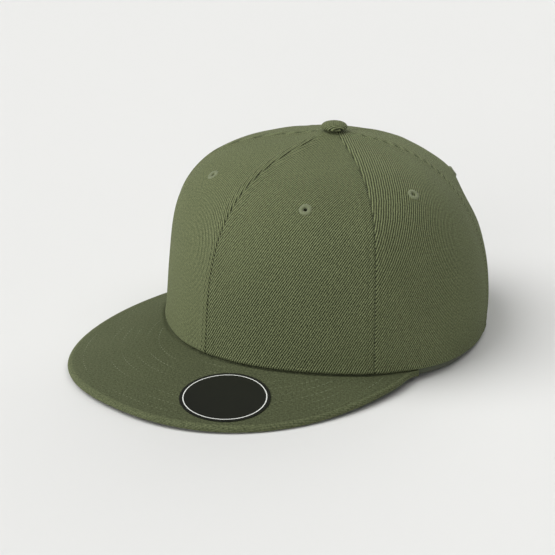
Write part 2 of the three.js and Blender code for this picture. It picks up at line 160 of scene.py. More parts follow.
class CapSizes(bpy.types.PropertyGroup):
    """Sizes of the cloth, the thread and the small parts"""

    panel_wall: length_setting("Panel wall", "Thickness of a crown panel", 0.0018)
    seam_roll: length_setting("Seam roll", "Radius of the cloth's turn into a seam", 0.0010)
    allowance: length_setting("Seam allowance", "Width of the folded cloth beside a seam", 0.0058)
    topstitch: length_setting("Topstitch", "Distance from a seam to its stitch row", 0.0032)
    stitch_length: length_setting("Stitch length", "Length of one visible stitch", 0.0023)
    stitch_pitch: length_setting("Stitch pitch", "Distance from one stitch to the next", 0.0029)
    thread: length_setting("Thread", "Diameter of the sewing thread", 0.0004)
    peak_row_pitch: length_setting("Brim row pitch", "Distance between the brim's stitch rows", 0.0073)
    twill_pitch: length_setting("Twill pitch", "Distance between the twill's ribs", 0.00116)
    twill_angle: bpy.props.FloatProperty(
        name="Twill angle", description="Slope of the twill's ribs",
        default=math.radians(60), subtype="ANGLE",
    )
    eyelet_radius: length_setting("Eyelet radius", "Outer radius of a sewn eyelet", 0.0034)
    eyelet_hole: length_setting("Eyelet hole", "Radius of an eyelet's hole", 0.0010)
    strap_wall: length_setting("Strap wall", "Thickness of the snap strap", 0.0015)
    snap_radius: length_setting("Snap radius", "Radius of one snap stud", 0.0026)


class CapColours(bpy.types.PropertyGroup):
    """Colours as sRGB hex values"""

    twill_ridge: colour_setting("Twill ridge", "The twill's raised ribs", "#8b936a")
    # Painted shade: the valley colour is the ribs' olive darkened for the shade that falls between them.
    twill_valley_shaded: colour_setting("Twill valley", "Between the twill's ribs", "#1d2213")
    # Painted shade: the brim's colours are the crown's olive twill darkened where the brim looks darker
    # under the lights, and its valley colour also holds the shade between the ribs.
    peak_ridge_shaded: colour_setting("Brim ridge", "The brim cloth's ribs", "#61674a")
    peak_valley_shaded: colour_setting("Brim valley", "Between the brim cloth's ribs", "#272b1a")
    thread: colour_setting("Thread", "The sewing thread", "#707758")
    band: colour_setting("Sweatband", "The sweatband's cotton", "#4d5340")
    strap: colour_setting("Strap", "The strap's plastic", "#4d5440")
    film: colour_setting("Sticker film", "The sticker's film", "#12130f")
    print_ink: colour_setting("Sticker print", "The sticker's ring", "#e9ebe6")
    floor: colour_setting("Floor", "The floor", "#dcdcda")


def size(name):
    """One of the cap's sizes in millimetres"""
    return getattr(bpy.context.scene.cap_sizes, name) / MM


# The crown's surface


def same_shape(*values):
    return np.broadcast_arrays(*(np.asarray(value, float) for value in values))


def halve_in(low, high, is_low, rounds):
    """Closes in from low and high on where is_low stops being true"""
    for _ in range(rounds):
        middle = (low + high) / 2
        under = is_low(middle)
        low = np.where(under, middle, low)
        high = np.where(under, high, middle)
    return low


def round_curve(values, bearing):
    """A smooth even curve through values given at equal steps from 0 to 180 degrees"""
    last = len(values) - 1
    share = np.ones(last + 1)
    share[[0, last]] = 0.5
    steps = np.arange(last + 1)
    angle = np.radians(bearing)
    total = np.zeros_like(angle)
    for order in steps:
        weight = (share * values * np.cos(math.pi * steps * order / last)).sum()
        total = total + share[order] * 2 / last * weight * np.cos(order * angle)
    return total


def section_point(bearing, slant):
    """How far out and up the rounded section is, each from 0 to 1, in the direction slant"""
    shoulder = round_curve(CROWN_SHOULDERS, bearing)
    wall = round_curve(CROWN_WALLS, bearing)
    across = np.cos(slant * math.pi / 2)
    up = np.sin(slant * math.pi / 2)

    def is_inside(reach):
        return (reach * across) ** shoulder + (reach * up) ** wall < 1

    reach = halve_in(np.full_like(across, 0.5), np.full_like(across, 1.5), is_inside, 40)
    return reach * across, reach * up


def crown_point(bearing, slant):
    """The outside of the crown's cloth"""
    bearing, slant = same_shape(bearing, slant)
    reach, climb = section_point(bearing, slant)
    wall = round_curve(CROWN_WALLS, bearing)
    rise = np.arcsin(np.clip(climb ** (wall / 2), 0, 1)) / (math.pi / 2)
    rim = np.maximum(0, round_curve(RIM_HEIGHTS, bearing))
    height = rim + (CROWN_HEIGHT - rim) * climb + APEX_LIFT * rise**APEX_SHARPNESS
    tuck = round_curve(CROWN_TUCKS, bearing)
    radius = round_curve(CROWN_RADII, bearing) * reach * (1 - tuck * (1 - climb) ** TUCK_POWER)
    swell = np.zeros_like(radius)
    for fold in FOLDS:
        sideways = np.radians(bearing - fold["bearing"]) * radius / fold["half_width"]
        upwards = (height - fold["height"]) / fold["half_height"]
        swell = swell + fold["depth"] * np.exp(-(sideways**2) - upwards**2)
    radius = radius + swell
    lean = SEAM_SWING_AT_RIM + SEAM_SWING_GAIN * rise
    direction = np.radians(bearing + lean * np.sin(np.radians(2 * bearing)))
    forward = APEX_FORWARD * rise**APEX_FORWARD_POWER
    return np.stack([radius * np.sin(direction), -radius * np.cos(direction) - forward, height], -1)


def unit(vectors):
    return vectors / np.linalg.norm(vectors, axis=-1, keepdims=True)


def crown_normal(bearing, slant):
    around = crown_point(bearing + BEARING_STEP, slant) - crown_point(bearing - BEARING_STEP, slant)
    upwards = crown_point(bearing, np.minimum(1 - SLANT_STEP, slant + SLANT_STEP))
    upwards = upwards - crown_point(bearing, np.maximum(0, slant - SLANT_STEP))
    return unit(np.cross(around, upwards))


def cloth_point(bearing, slant, depth):
    """A point inside the cloth, depth below its outside"""
    bearing, slant, depth = same_shape(bearing, slant, depth)
    normal = crown_normal(bearing, slant)
    normal[..., 2] *= np.minimum(1, slant / LEVEL_ZONE)
    return crown_point(bearing, slant) - unit(normal) * depth[..., None]


def slant_at_height(bearing, height):
    bearing, height = same_shape(bearing, height)

    def is_under(slant):
        return crown_point(bearing, slant)[..., 2] < height

    return halve_in(np.zeros_like(bearing), np.full_like(bearing, 0.9), is_under, 30)


def slant_at_radius(bearing, radius):
    reach = radius / round_curve(CROWN_RADII, bearing)
    climb = (1 - reach ** round_curve(CROWN_SHOULDERS, bearing)) ** (1 / round_curve(CROWN_WALLS, bearing))
    return np.arctan2(climb, reach) / (math.pi / 2)


def gentle_waves(points):
    """Slight unevenness of hand-shaped cloth, in millimetres"""
    x, y, z = points[..., 0], points[..., 1], points[..., 2]
    wave = np.sin(x / 9.0 + 1.3 * np.sin(z / 17.0)) * np.sin(y / 11.0 + z / 14.0)
    return 0.16 * wave + 0.1 * np.sin((x + y) / 6.1 + z / 8.3)


# The brim's surface


def signed_power(value, power):
    return np.sign(value) * np.abs(value) ** power


def peak_rim_point(along, depth):
    point = cloth_point(along * PEAK_RIM_BEARING, 0.0, depth)
    point[..., 2] -= GAP
    return point


def peak_edge_point(along):
    along = np.asarray(along, float)
    turn = np.radians(90 - along * (90 + PEAK_WRAP))
    reach = np.where(np.sin(turn) > 0, PEAK_REACH, PEAK_RETURN)
    edge = np.stack(
        [
            PEAK_HALF_WIDTH * signed_power(np.cos(turn), 2 / PEAK_ROUNDNESS),
            PEAK_CENTRE_Y - reach * signed_power(np.sin(turn), 2 / PEAK_ROUNDNESS),
            round_curve(PEAK_EDGE_HEIGHTS, along * 180),
        ],
        -1,
    )
    corner = (np.abs(along) ** PEAK_CORNER_POWER)[..., None]
    return edge * (1 - corner) + peak_rim_point(along, 0) * corner


def peak_top_point(along, across):
    """The brim's top, where across is 0 at the rim and 1 at the outer edge"""
    share = np.asarray(across, float)[..., None]
    return peak_rim_point(along, 0) * (1 - share) + peak_edge_point(along) * share


def peak_width(along):
    return np.linalg.norm(peak_edge_point(along) - peak_rim_point(along, 0), axis=-1)


# Making meshes


def deselect_all():
    if bpy.context.mode != "OBJECT":
        bpy.ops.object.mode_set(mode="OBJECT")
    bpy.ops.object.select_all(action="DESELECT")


def activate(obj):
    deselect_all()
    obj.select_set(True)
    bpy.context.view_layer.objects.active = obj


def to_frame(points):
    """Millimetres in the crown's frame as metres in the row frame"""
    moved = np.array(points, float)
    moved[..., 1] += AXIS_Y
    return moved * MM


def set_points(obj, points):
    obj.data.vertices.foreach_set("co", np.asarray(points, np.float32).ravel())
    obj.data.update()


def get_points(obj):
    found = np.zeros(len(obj.data.vertices) * 3, np.float32)
    obj.data.vertices.foreach_get("co", found)
    return found.reshape(-1, 3).astype(float)


def flat_grid(name, rows, columns):
    """A flat grid to be shaped, with each point's row and column"""
    deselect_all()
    bpy.ops.mesh.primitive_grid_add(x_subdivisions=columns, y_subdivisions=rows, size=2, calc_uvs=False)
    obj = bpy.context.object
    obj.name = name
    places = get_points(obj)
    column = np.rint((places[:, 0] + 1) / 2 * columns).astype(int)
    row = np.rint((places[:, 1] + 1) / 2 * rows).astype(int)
    if len(places) != (rows + 1) * (columns + 1):
        raise RuntimeError(f"{name}: the grid has {len(places)} points")
    return obj, row, column


def own_copy(model, name):
    """A copy of a model, with a mesh of its own"""
    obj = model.copy()
    obj.data = model.data.copy()
    obj.name = name
    bpy.context.scene.collection.objects.link(obj)
    return obj


def set_down(local, centre, normal):
    """A small part's points, turned from upright to the normal and moved to the centre"""
    turn = Vector((0, 0, 1)).rotation_difference(Vector(normal)).to_matrix()
    return local @ np.array(turn).T + centre


def keep_value(obj, name, values):
    """A number for each point, which modifiers copy to the points that they add"""
    attribute = obj.data.attributes.new(name, "FLOAT", "POINT")
    attribute.data.foreach_set("value", np.asarray(values, np.float32))


def kept_value(obj, name):
    attribute = obj.data.attributes[name]
    found = np.zeros(len(obj.data.vertices), np.float32)
    attribute.data.foreach_get("value", found)
    return found.astype(float)


def drop_values(obj, *names):
    for name in names:
        obj.data.attributes.remove(obj.data.attributes[name])


def set_uv(obj, name, per_point):
    """A UV map from two numbers for each point"""
    layer = obj.data.uv_layers.get(name) or obj.data.uv_layers.new(name=name)
    corners = np.zeros(len(obj.data.loops), np.int32)
    obj.data.loops.foreach_get("vertex_index", corners)
    layer.data.foreach_set("uv", np.asarray(per_point, np.float32)[corners].ravel())


def apply_modifier(obj, kind, **settings):
    activate(obj)
    bpy.ops.object.modifier_add(type=kind)
    modifier = obj.modifiers[-1]
    for name, value in settings.items():
        setattr(modifier, name, value)
    bpy.ops.object.modifier_apply(modifier=modifier.name)


def add_wall(obj, thickness):
    """Gives a sheet its inner side"""
    count = len(obj.data.vertices)
    apply_modifier(obj, "SOLIDIFY", thickness=thickness * MM, offset=-1, use_rim=True)
    if len(obj.data.vertices) != 2 * count:
        raise RuntimeError(f"{obj.name}: the wall has {len(obj.data.vertices)} points, not {2 * count}")


def place_inner_side(obj, inner):
    """Sets the inner side's points, which follow the outer side's in the same order"""
    points = get_points(obj)
    points[len(points) // 2 :] = to_frame(inner)
    set_points(obj, points)


def smooth(obj, degrees=50):
    activate(obj)
    bpy.ops.object.shade_smooth_by_angle(angle=math.radians(degrees))


def join(pieces, name):
    deselect_all()
    for piece in pieces:
        piece.select_set(True)
    bpy.context.view_layer.objects.active = pieces[0]
    bpy.ops.object.join()
    joined = bpy.context.object
    joined.name = name
    return joined


def faces_out(obj, merge=1e-7, close=False):
    """Merges points that lie together, closes open ends if that is asked, and turns the faces out"""
    activate(obj)
    bpy.ops.object.mode_set(mode="EDIT")
    bpy.ops.mesh.select_all(action="SELECT")
    bpy.ops.mesh.remove_doubles(threshold=merge)
    if close:
        bpy.ops.mesh.select_all(action="DESELECT")
        bpy.ops.mesh.select_mode(type="EDGE")
        bpy.ops.mesh.select_non_manifold(extend=False, use_wire=False, use_multi_face=False, use_verts=False)
        bpy.ops.mesh.fill()
        bpy.ops.mesh.select_all(action="SELECT")
    bpy.ops.mesh.normals_make_consistent(inside=False)
    bpy.ops.object.mode_set(mode="OBJECT")


def finish_piece(obj, finish, slot, *nodes):
    """The piece gets its finish, rides on the cap's one body and stands for its nodes."""
    obj.data.materials.clear()
    obj.data.materials.append(material(finish))
    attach(obj, "root")
    if nodes:
        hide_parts(*nodes)


# Threads


@functools.cache
def stitch_model():
    """One stitch as unit capsule points and faces, long in X, made as a sphere primitive"""
    deselect_all()
    bpy.ops.mesh.primitive_uv_sphere_add(segments=6, ring_count=4, radius=0.5)
    ball = bpy.context.object
    points = get_points(ball)[:, [2, 0, 1]]
    faces = [list(face.vertices) for face in ball.data.polygons]
    bpy.data.objects.remove(ball)
    # Blunt ends: a stitch keeps its thickness until it dives into the cloth.
    points[:, 0] = 0.5 * np.sign(points[:, 0]) * np.abs(2 * points[:, 0]) ** 1.6
    return points, faces


def stitch_row(starts, ends, normals, width, height):
    """Points and faces of many stitches, each from its start to its end, in millimetres"""
    model, faces = stitch_model()
    starts, ends, normals = (np.asarray(part, float) for part in (starts, ends, normals))
    along = ends - starts
    length = np.linalg.norm(along, axis=-1, keepdims=True)
    x_axis = along / length
    y_axis = unit(np.cross(normals, x_axis))
    z_axis = np.cross(x_axis, y_axis)
    middle = (starts + ends) / 2
    points = middle[:, None] + model[None, :, :1] * along[:, None]
    points = points + model[None, :, 1:2] * width * y_axis[:, None]
    points = points + model[None, :, 2:] * height * z_axis[:, None]
    count = len(model)
    all_faces = [[corner + count * copy for corner in face] for copy in range(len(starts)) for face in faces]
    return points.reshape(-1, 3), all_faces


def thread_piece(name, rows):
    """One mesh from several stitch rows"""
    points = []
    faces = []
    start = 0
    for row_points, row_faces in rows:
        points.append(row_points)
        faces.extend([corner + start for corner in face] for face in row_faces)
        start += len(row_points)
    mesh = bpy.data.meshes.new(name)
    mesh.from_pydata(to_frame(np.concatenate(points)).tolist(), [], faces)
    obj = bpy.data.objects.new(name, mesh)
    bpy.context.scene.collection.objects.link(obj)
    faces_out(obj)
    smooth(obj, 80)
    return obj


def spread_along(points, pitch, length):
    """Starts, ends and middles of stitches laid along a line of points"""
    steps = np.linalg.norm(np.diff(points, axis=0), axis=1)
    run = np.concatenate([[0], np.cumsum(steps)])
    count = int(run[-1] // pitch)
    begin = (np.arange(count) + 0.5) * pitch - length / 2

    def place(where):
        return np.stack([np.interp(where, run, points[:, axis]) for axis in range(3)], -1)

    return place(begin), place(begin + length), place(begin + length / 2)


def nearest_on_line(points, places):
    """Which of the line's points is nearest to each place"""
    return [int(np.argmin(((points - place) ** 2).sum(1))) for place in places]


# Materials


def linear(hex_colour):
    """An sRGB hex value as linear colour with alpha"""
    parts = [int(hex_colour[i : i + 2], 16) / 255 for i in (1, 3, 5)]
    return [c / 12.92 if c <= 0.04045 else ((c + 0.055) / 1.055) ** 2.4 for c in parts] + [1.0]


def add_node(tree, kind, inputs=None, **settings):
    """Adds one shader node. settings are its properties. inputs gives each socket a value, or a socket or
    node to link from, where a node stands for its first output in use.
    """
    node = tree.nodes.new("ShaderNode" + kind)
    for name, value in settings.items():
        setattr(node, name, value)
    for key, value in (inputs or {}).items():
        if isinstance(value, bpy.types.Node):
            value = next(socket for socket in value.outputs if socket.enabled)
        if isinstance(value, bpy.types.NodeSocket):
            tree.links.new(value, node.inputs[key])
        else:
            node.inputs[key].default_value = value
    return node


def twill(tree, ridge, valley, ribs, slubs, bump):
    """Cotton twill, piece-dyed olive: diagonal ribs of thick yarn, matt, with a faint bloom of loose fibre.

    The ribs follow the piece's UV map, which is its cutting pattern in metres.
    """
    pitch = size("twill_pitch") * MM
    angle = bpy.context.scene.cap_sizes.twill_angle
    cloth = add_node(tree, "UVMap", uv_map="cloth")
    # The yarns' spacing wanders a little over a few millimetres, so ribs aren't ruled lines.
    drift = add_node(tree, "TexNoise", {"Vector": cloth, "Scale": 1 / 0.006, "Detail": 1.0})
    wander = add_node(tree, "Math", {0: drift, 1: 0.5, 2: -0.25}, operation="MULTIPLY_ADD")
    across_ribs = (math.sin(angle) / pitch, -math.cos(angle) / pitch, 0)
    phase = add_node(tree, "VectorMath", {0: cloth, 1: across_ribs}, operation="DOT_PRODUCT")
    shifted = add_node(tree, "Math", {0: phase, 1: wander}, operation="ADD")
    turned = add_node(tree, "Math", {0: shifted, 1: 2 * math.pi}, operation="MULTIPLY")
    wave = add_node(tree, "Math", {0: turned}, operation="COSINE")
    rib = add_node(tree, "Math", {0: wave, 1: 0.5, 2: 0.5}, operation="MULTIPLY_ADD")
    # Each rib is a row of floats, where a warp yarn crosses over the weft: 1.1 mm of rib each.
    float_length = 0.0011
    along_ribs = (math.cos(angle) / float_length, math.sin(angle) / float_length, 0)
    run = add_node(tree, "VectorMath", {0: cloth, 1: along_ribs}, operation="DOT_PRODUCT")
    stagger = add_node(tree, "Math", {0: phase, 1: 0.38, 2: run}, operation="MULTIPLY_ADD")
    crossing = add_node(tree, "Math", {0: stagger, 1: 2 * math.pi}, operation="MULTIPLY")
    pulse = add_node(tree, "Math", {0: crossing}, operation="COSINE")
    floats = add_node(tree, "Math", {0: pulse, 1: 0.16, 2: 0.84}, operation="MULTIPLY_ADD")
    yarn = add_node(tree, "Math", {0: rib, 1: floats}, operation="MULTIPLY")
    # Slubs: thicker and paler bits of yarn, about a millimetre long
    slub = add_node(tree, "TexNoise", {"Vector": cloth, "Scale": 1 / 0.0011, "Detail": 2.0})
    speck = add_node(tree, "Math", {0: slub, 1: 1.1, 2: -0.55}, operation="MULTIPLY_ADD")
    # Where the ribs are faint, the cloth's mean height takes their place.
    mean_height = 0.46
    rise = add_node(tree, "Math", {0: yarn, 1: ribs, 2: (1 - ribs) * mean_height}, operation="MULTIPLY_ADD")
    relief = add_node(tree, "Math", {0: speck, 1: slubs, 2: rise}, operation="MULTIPLY_ADD")
    # Painted shade: the colour runs from the ridge colour down to the dark valley colour with the ribs'
    # height, in place of the shade between the ribs. The slubs' paler yarn is their own.
    yarns = {"Factor": relief, "A": linear(valley), "B": linear(ridge)}
    base = add_node(tree, "Mix", yarns, data_type="RGBA")
    # Uneven dye over two or three centimetres
    dye = add_node(tree, "TexNoise", {"Vector": cloth, "Scale": 1 / 0.024, "Detail": 3.0})
    shade = add_node(tree, "Math", {0: dye, 1: 0.22, 2: 0.89}, operation="MULTIPLY_ADD")
    dyed = add_node(tree, "VectorMath", {0: base, "Scale": shade}, operation="SCALE")
    # Painted highlight: the cloth is paled where it turns over the brim's rounded edge, where the light
    # catches it. Pieces without the attribute read 0.
    painted_edge_highlight = add_node(tree, "Attribute", attribute_name="painted_edge_highlight").outputs["Fac"]
    highlight_gain = add_node(tree, "Math", {0: painted_edge_highlight, 1: 0.42, 2: 1.0}, operation="MULTIPLY_ADD")
    highlit = add_node(tree, "VectorMath", {0: dyed, "Scale": highlight_gain}, operation="SCALE")
    bumps = add_node(tree, "Bump", {"Strength": bump, "Distance": 0.0005, "Height": relief})
    look = {
        "Base Color": highlit, "Roughness": 0.93, "Specular IOR Level": 0.2, "Sheen Weight": 0.3,
        "Sheen Roughness": 0.45, "Sheen Tint": linear("#a6b07f"), "Normal": bumps,
    }
    return add_node(tree, "BsdfPrincipled", look)


def crown_twill(tree, colours):
    """The twill as it is on the crown, with its ribs clear"""
    return twill(tree, colours.twill_ridge, colours.twill_valley_shaded, ribs=1.0, slubs=0.8, bump=0.85)


def shaded_brim_twill(tree, colours):
    """The twill as it is on the brim, pulled flat over the board, so its slubs show more than its ribs"""
    # Painted shade: the brim's ridge and valley colours are darker than the crown's twill, which is the same
    # cloth.
    return twill(tree, colours.peak_ridge_shaded, colours.peak_valley_shaded, ribs=0.3, slubs=1.2, bump=0.7)


def sewing_thread(tree, colours):
    """Spun polyester sewing thread: a soft gloss on fine uneven fibres"""
    place = add_node(tree, "TexCoord").outputs["Object"]
    fuzz = add_node(tree, "TexNoise", {"Vector": place, "Scale": 1 / 0.0006, "Detail": 2.0})
    shade = add_node(tree, "Math", {0: fuzz, 1: 0.5, 2: 0.75}, operation="MULTIPLY_ADD")
    tinted = add_node(tree, "VectorMath", {0: linear(colours.thread)[:3], "Scale": shade}, operation="SCALE")
    bumps = add_node(tree, "Bump", {"Strength": 0.4, "Distance": 0.0001, "Height": fuzz})
    look = {
        "Base Color": tinted, "Roughness": 0.68, "Specular IOR Level": 0.35, "Sheen Weight": 0.25,
        "Normal": bumps,
    }
    return add_node(tree, "BsdfPrincipled", look)


def brushed_cotton(tree, colours):
    """Plain-woven brushed cotton: a fine square weave, softer and flatter than the twill"""
    cloth = add_node(tree, "UVMap", uv_map="cloth")
    # Real yarns are 0.4 mm apart. They are drawn at 0.8 mm, so that they show in the render.
    yarn = 0.0008
    turns = 2 * math.pi / yarn
    split = add_node(tree, "SeparateXYZ", {0: cloth})
    waves = []
    for axis in ("X", "Y"):
        turned = add_node(tree, "Math", {0: split.outputs[axis], 1: turns}, operation="MULTIPLY")
        waves.append(add_node(tree, "Math", {0: turned}, operation="SINE"))
    weave = add_node(tree, "Math", {0: waves[0], 1: waves[1]}, operation="MULTIPLY")
    fibre = add_node(tree, "TexNoise", {"Vector": cloth, "Scale": 1 / 0.0015, "Detail": 3.0})
    relief = add_node(tree, "Math", {0: weave, 1: 0.25, 2: fibre}, operation="MULTIPLY_ADD")
    shade = add_node(tree, "Math", {0: relief, 1: 0.5, 2: 0.75}, operation="MULTIPLY_ADD")
    tinted = add_node(tree, "VectorMath", {0: linear(colours.band)[:3], "Scale": shade}, operation="SCALE")
    bumps = add_node(tree, "Bump", {"Strength": 0.5, "Distance": 0.00015, "Height": relief})
    look = {
        "Base Color": tinted, "Roughness": 0.95, "Specular IOR Level": 0.2, "Sheen Weight": 0.3,
        "Normal": bumps,
    }
    return add_node(tree, "BsdfPrincipled", look)


def moulded_polyethylene(tree, colours):
    """Low-density polyethylene, injection moulded: satin, with a fine spark-eroded grain"""
    place = add_node(tree, "TexCoord").outputs["Object"]
    # The mould's grain is 0.3 mm.
    grain = add_node(tree, "TexNoise", {"Vector": place, "Scale": 1 / 0.0003, "Detail": 2.0})
    flow = add_node(tree, "TexNoise", {"Vector": place, "Scale": 1 / 0.012, "Detail": 2.0})
    rough = add_node(tree, "Math", {0: flow, 1: 0.2, 2: 0.34}, operation="MULTIPLY_ADD")
    bumps = add_node(tree, "Bump", {"Strength": 0.25, "Distance": 0.00005, "Height": grain})
    look = {"Base Color": linear(colours.strap), "Roughness": rough, "IOR": 1.51, "Normal": bumps}
    return add_node(tree, "BsdfPrincipled", look)


def vinyl_film(tree, colours):
    """Printed vinyl film: smooth and slightly glossy black with one thin pale ring

    The UV map is the place on the disc in parts of its radius, from its centre.
    """
    disc = add_node(tree, "UVMap", uv_map="cloth")
    reach = add_node(tree, "VectorMath", {0: disc}, operation="LENGTH")
    ring_radius = 0.915
    ring_half_width = 0.011
    ring = add_node(tree, "Math", {0: reach, 1: ring_radius, 2: ring_half_width}, operation="COMPARE")
    inks = {"Factor": ring, "A": linear(colours.film), "B": linear(colours.print_ink)}
    base = add_node(tree, "Mix", inks, data_type="RGBA")
    return add_node(tree, "BsdfPrincipled", {"Base Color": base, "Roughness": 0.42, "IOR": 1.5})


def painted_floor(tree, colours):
    """Matt painted board, lit evenly"""
    place = add_node(tree, "TexCoord").outputs["Object"]
    paint = add_node(tree, "TexNoise", {"Vector": place, "Scale": 1 / 0.4, "Detail": 2.0})
    shade = add_node(tree, "Math", {0: paint, 1: 0.02, 2: 0.99}, operation="MULTIPLY_ADD")
    tinted = add_node(tree, "VectorMath", {0: linear(colours.floor)[:3], "Scale": shade}, operation="SCALE")
    look = {"Base Color": tinted, "Roughness": 0.9, "Specular IOR Level": 0.1}
    return add_node(tree, "BsdfPrincipled", look)


FINISHES = {
    "olive_cotton_twill": crown_twill,
    "olive_cotton_twill_brim_shaded": shaded_brim_twill,
    "spun_polyester_thread": sewing_thread,
    "brushed_cotton_band": brushed_cotton,
    "moulded_polyethylene_strap": moulded_polyethylene,
    "printed_vinyl_film": vinyl_film,
    "matt_painted_floor": painted_floor,
}


def material(name):
    """A finish by its name, made when it is first asked for"""
    made = bpy.data.materials.get(name)
    if made is None:
        made = bpy.data.materials.new(name)
        made.use_nodes = True
        tree = made.node_tree
        tree.nodes.clear()
        shader = FINISHES[name](tree, bpy.context.scene.cap_colours)
        add_node(tree, "OutputMaterial", {"Surface": shader})
    return made


# Crown panels

# Distances of a panel's first columns from its seam, close together where the cloth turns
BAND_STEPS = np.array(
    [0.03, 0.1, 0.25, 0.45, 0.7, 1.0, 1.5, 2.1, 2.6, 2.95, 3.2, 3.45, 3.8, 4.4, 5.1, 5.8, 6.6, 7.6, 9.0]
)
MIDDLE_COLUMNS = 22
# Distances of a panel's first rows from its lower edge
HEM_STEPS = np.array([0, 0.12, 0.3, 0.6, 0.9, 1.3, 1.9, 2.6, 3.3, 4.0, 5.0, 6.2])
UPPER_ROWS = 74

# How far the cloth sinks or stands out at seams and hems, and where, in millimetres
ALLOWANCE_RISE = 0.3
ALLOWANCE_FADE_FROM = 1.2
ALLOWANCE_FADE = 2.0
ROW_PULL = 0.2
ROW_PULL_WIDTH = 0.55
HEM_ROLL = 1.0
HEM_ROLL_INSIDE = 0.8
HEM_BEAD = 0.35
HEM_BEAD_PLACE = 1.5
HEM_BEAD_WIDTH = 0.9
ARCH_FOLD = 0.25
ARCH_FOLD_END = 7.5
WAVES_FROM_SEAM = 12
EYELET_CUT_RADIUS = 1.7


class Meridians:
    """Lengths along a panel's upright lines, so that rows and columns sit at real distances"""

    def __init__(self, panel):
        self.panel = panel
        self.bearings = np.linspace(panel["start"], panel["end"], 121)
        self.slants = np.linspace(0, 1, 400) * float(slant_at_radius(90.0, APEX_HOLE_RADIUS))
        grid = np.meshgrid(self.bearings, self.slants, indexing="ij")
        self.points = crown_point(*grid)
        steps = np.linalg.norm(np.diff(self.points, axis=1), axis=2)
        self.runs = np.concatenate([np.zeros((len(self.bearings), 1)), np.cumsum(steps, 1)], 1)
        self.feet = self.find_feet()

    def find_feet(self):
        """Where each line starts: at the rim, or on the rear arch"""
        if not self.panel["name"].startswith("back"):
            return np.zeros(len(self.bearings))
        x = self.points[..., 0] / ARCH_HALF_WIDTH
        z = self.points[..., 2] / ARCH_HEIGHT
        outside = x**2 + z**2 - 1
        feet = []
        for line in outside:
            first = int(np.argmax(line > 0))
            if first == 0:
                feet.append(0.0)
                continue
            low, high = line[first - 1], line[first]
            share = -low / (high - low)
            feet.append(self.slants[first - 1] + share * (self.slants[first] - self.slants[first - 1]))
        return np.array(feet)

    def look_up(self, table, bearing, slant):
        """A value between the entries of a table over the bearings and slants"""
        where = np.interp(bearing, self.bearings, np.arange(len(self.bearings)))
        line = np.minimum(where.astype(int), len(self.bearings) - 2)
        place = np.interp(slant, self.slants, np.arange(len(self.slants)))
        step = np.minimum(place.astype(int), len(self.slants) - 2)
        share, part = where - line, place - step
        near = table[line, step] * (1 - part) + table[line, step + 1] * part
        far = table[line + 1, step] * (1 - part) + table[line + 1, step + 1] * part
        return near * (1 - share) + far * share

    def run_at(self, bearing, slant):
        """Length from the rim up to a slant"""
        return self.look_up(self.runs, bearing, slant)

    def slant_at(self, bearing, run):
        """The slant at a length from the rim"""

        def is_under(slant):
            return self.run_at(bearing, slant) < run

        return halve_in(np.zeros_like(run), np.full_like(run, self.slants[-1]), is_under, 28)

    def foot_at(self, bearing):
        return np.interp(bearing, self.bearings, self.feet)


def panel_columns(half_width):
    """Distances of the columns from the left seam on a row that is this wide"""
    squeeze = min(1.0, half_width / (1.6 * BAND_STEPS[-1]))
    band = BAND_STEPS * squeeze
    middle = np.linspace(band[-1], 2 * half_width - band[-1], MIDDLE_COLUMNS + 1)[1:-1]
    return np.concatenate([band, middle, (2 * half_width - band)[::-1]])


def roll_in(distance, roll):
    """How far a turned edge is rounded in, in millimetres"""
    inside = np.clip(1 - distance / roll, 0, 1)
    return roll * (1 - np.sqrt(1 - inside**2))


def seam_relief(distance):
    """How far the outside sinks near a seam, in millimetres: the roll, the allowance and its stitch row"""
    roll = size("seam_roll")
    flat = 1 - np.clip(1 - distance / roll, 0, 1)
    fade = np.clip((size("allowance") + ALLOWANCE_FADE_FROM - distance) / ALLOWANCE_FADE, 0, 1)
    pull = ROW_PULL * np.exp(-(((distance - size("topstitch")) / ROW_PULL_WIDTH) ** 2))
    return roll_in(distance, roll) - ALLOWANCE_RISE * fade * flat + pull


def cloth_depth(panel, plain, distance, hem_distance):
    """How far each point of a panel's outside lies in from the plain crown, in millimetres"""
    # Near the apex there is less room, so the seams' relief shrinks.
    radius = np.hypot(plain[:, 0], plain[:, 1])
    shrink = np.clip((radius - 5) / 20, 0.15, 1)
    depth = seam_relief(distance / shrink) * shrink + roll_in(hem_distance, HEM_ROLL)
    depth = depth - gentle_waves(plain) * np.clip(distance / WAVES_FROM_SEAM, 0, 1)
    bead = HEM_BEAD * np.exp(-(((hem_distance - HEM_BEAD_PLACE) / HEM_BEAD_WIDTH) ** 2))
    depth = depth - bead * np.clip(distance / 2, 0, 1)
    if panel["name"].startswith("back"):
        # The arch's hem is folded under and sewn, so it stands a little proud.
        fold = np.clip((ARCH_FOLD_END - hem_distance) / 1.5, 0, 1) * np.clip(hem_distance, 0, 1)
        depth = depth - ARCH_FOLD * fold
    return depth


def lay_cutting_pattern(obj, lines, bearing, slant, panel):
    """Sets the UV map, in metres, from the sheet's lengths up its centre line and level across it"""
    middle = len(lines.bearings) // 2
    steps = np.linalg.norm(np.diff(lines.points, axis=0), axis=2)
    widths = np.concatenate([np.zeros((1, len(lines.slants))), np.cumsum(steps, 0)])
    widths = widths - widths[middle]
    across = lines.look_up(widths, bearing, slant)
    up = np.interp(slant, lines.slants, lines.runs[middle])
    pattern = np.stack([across, up], -1) * MM
    lay = pattern * [-1, 1] if panel["mirrored"] else pattern
    grain = math.radians(-panel["grain"])
    turn = np.array([[math.cos(grain), math.sin(grain)], [-math.sin(grain), math.cos(grain)]])
    set_uv(obj, "cloth", lay @ turn)
    return pattern


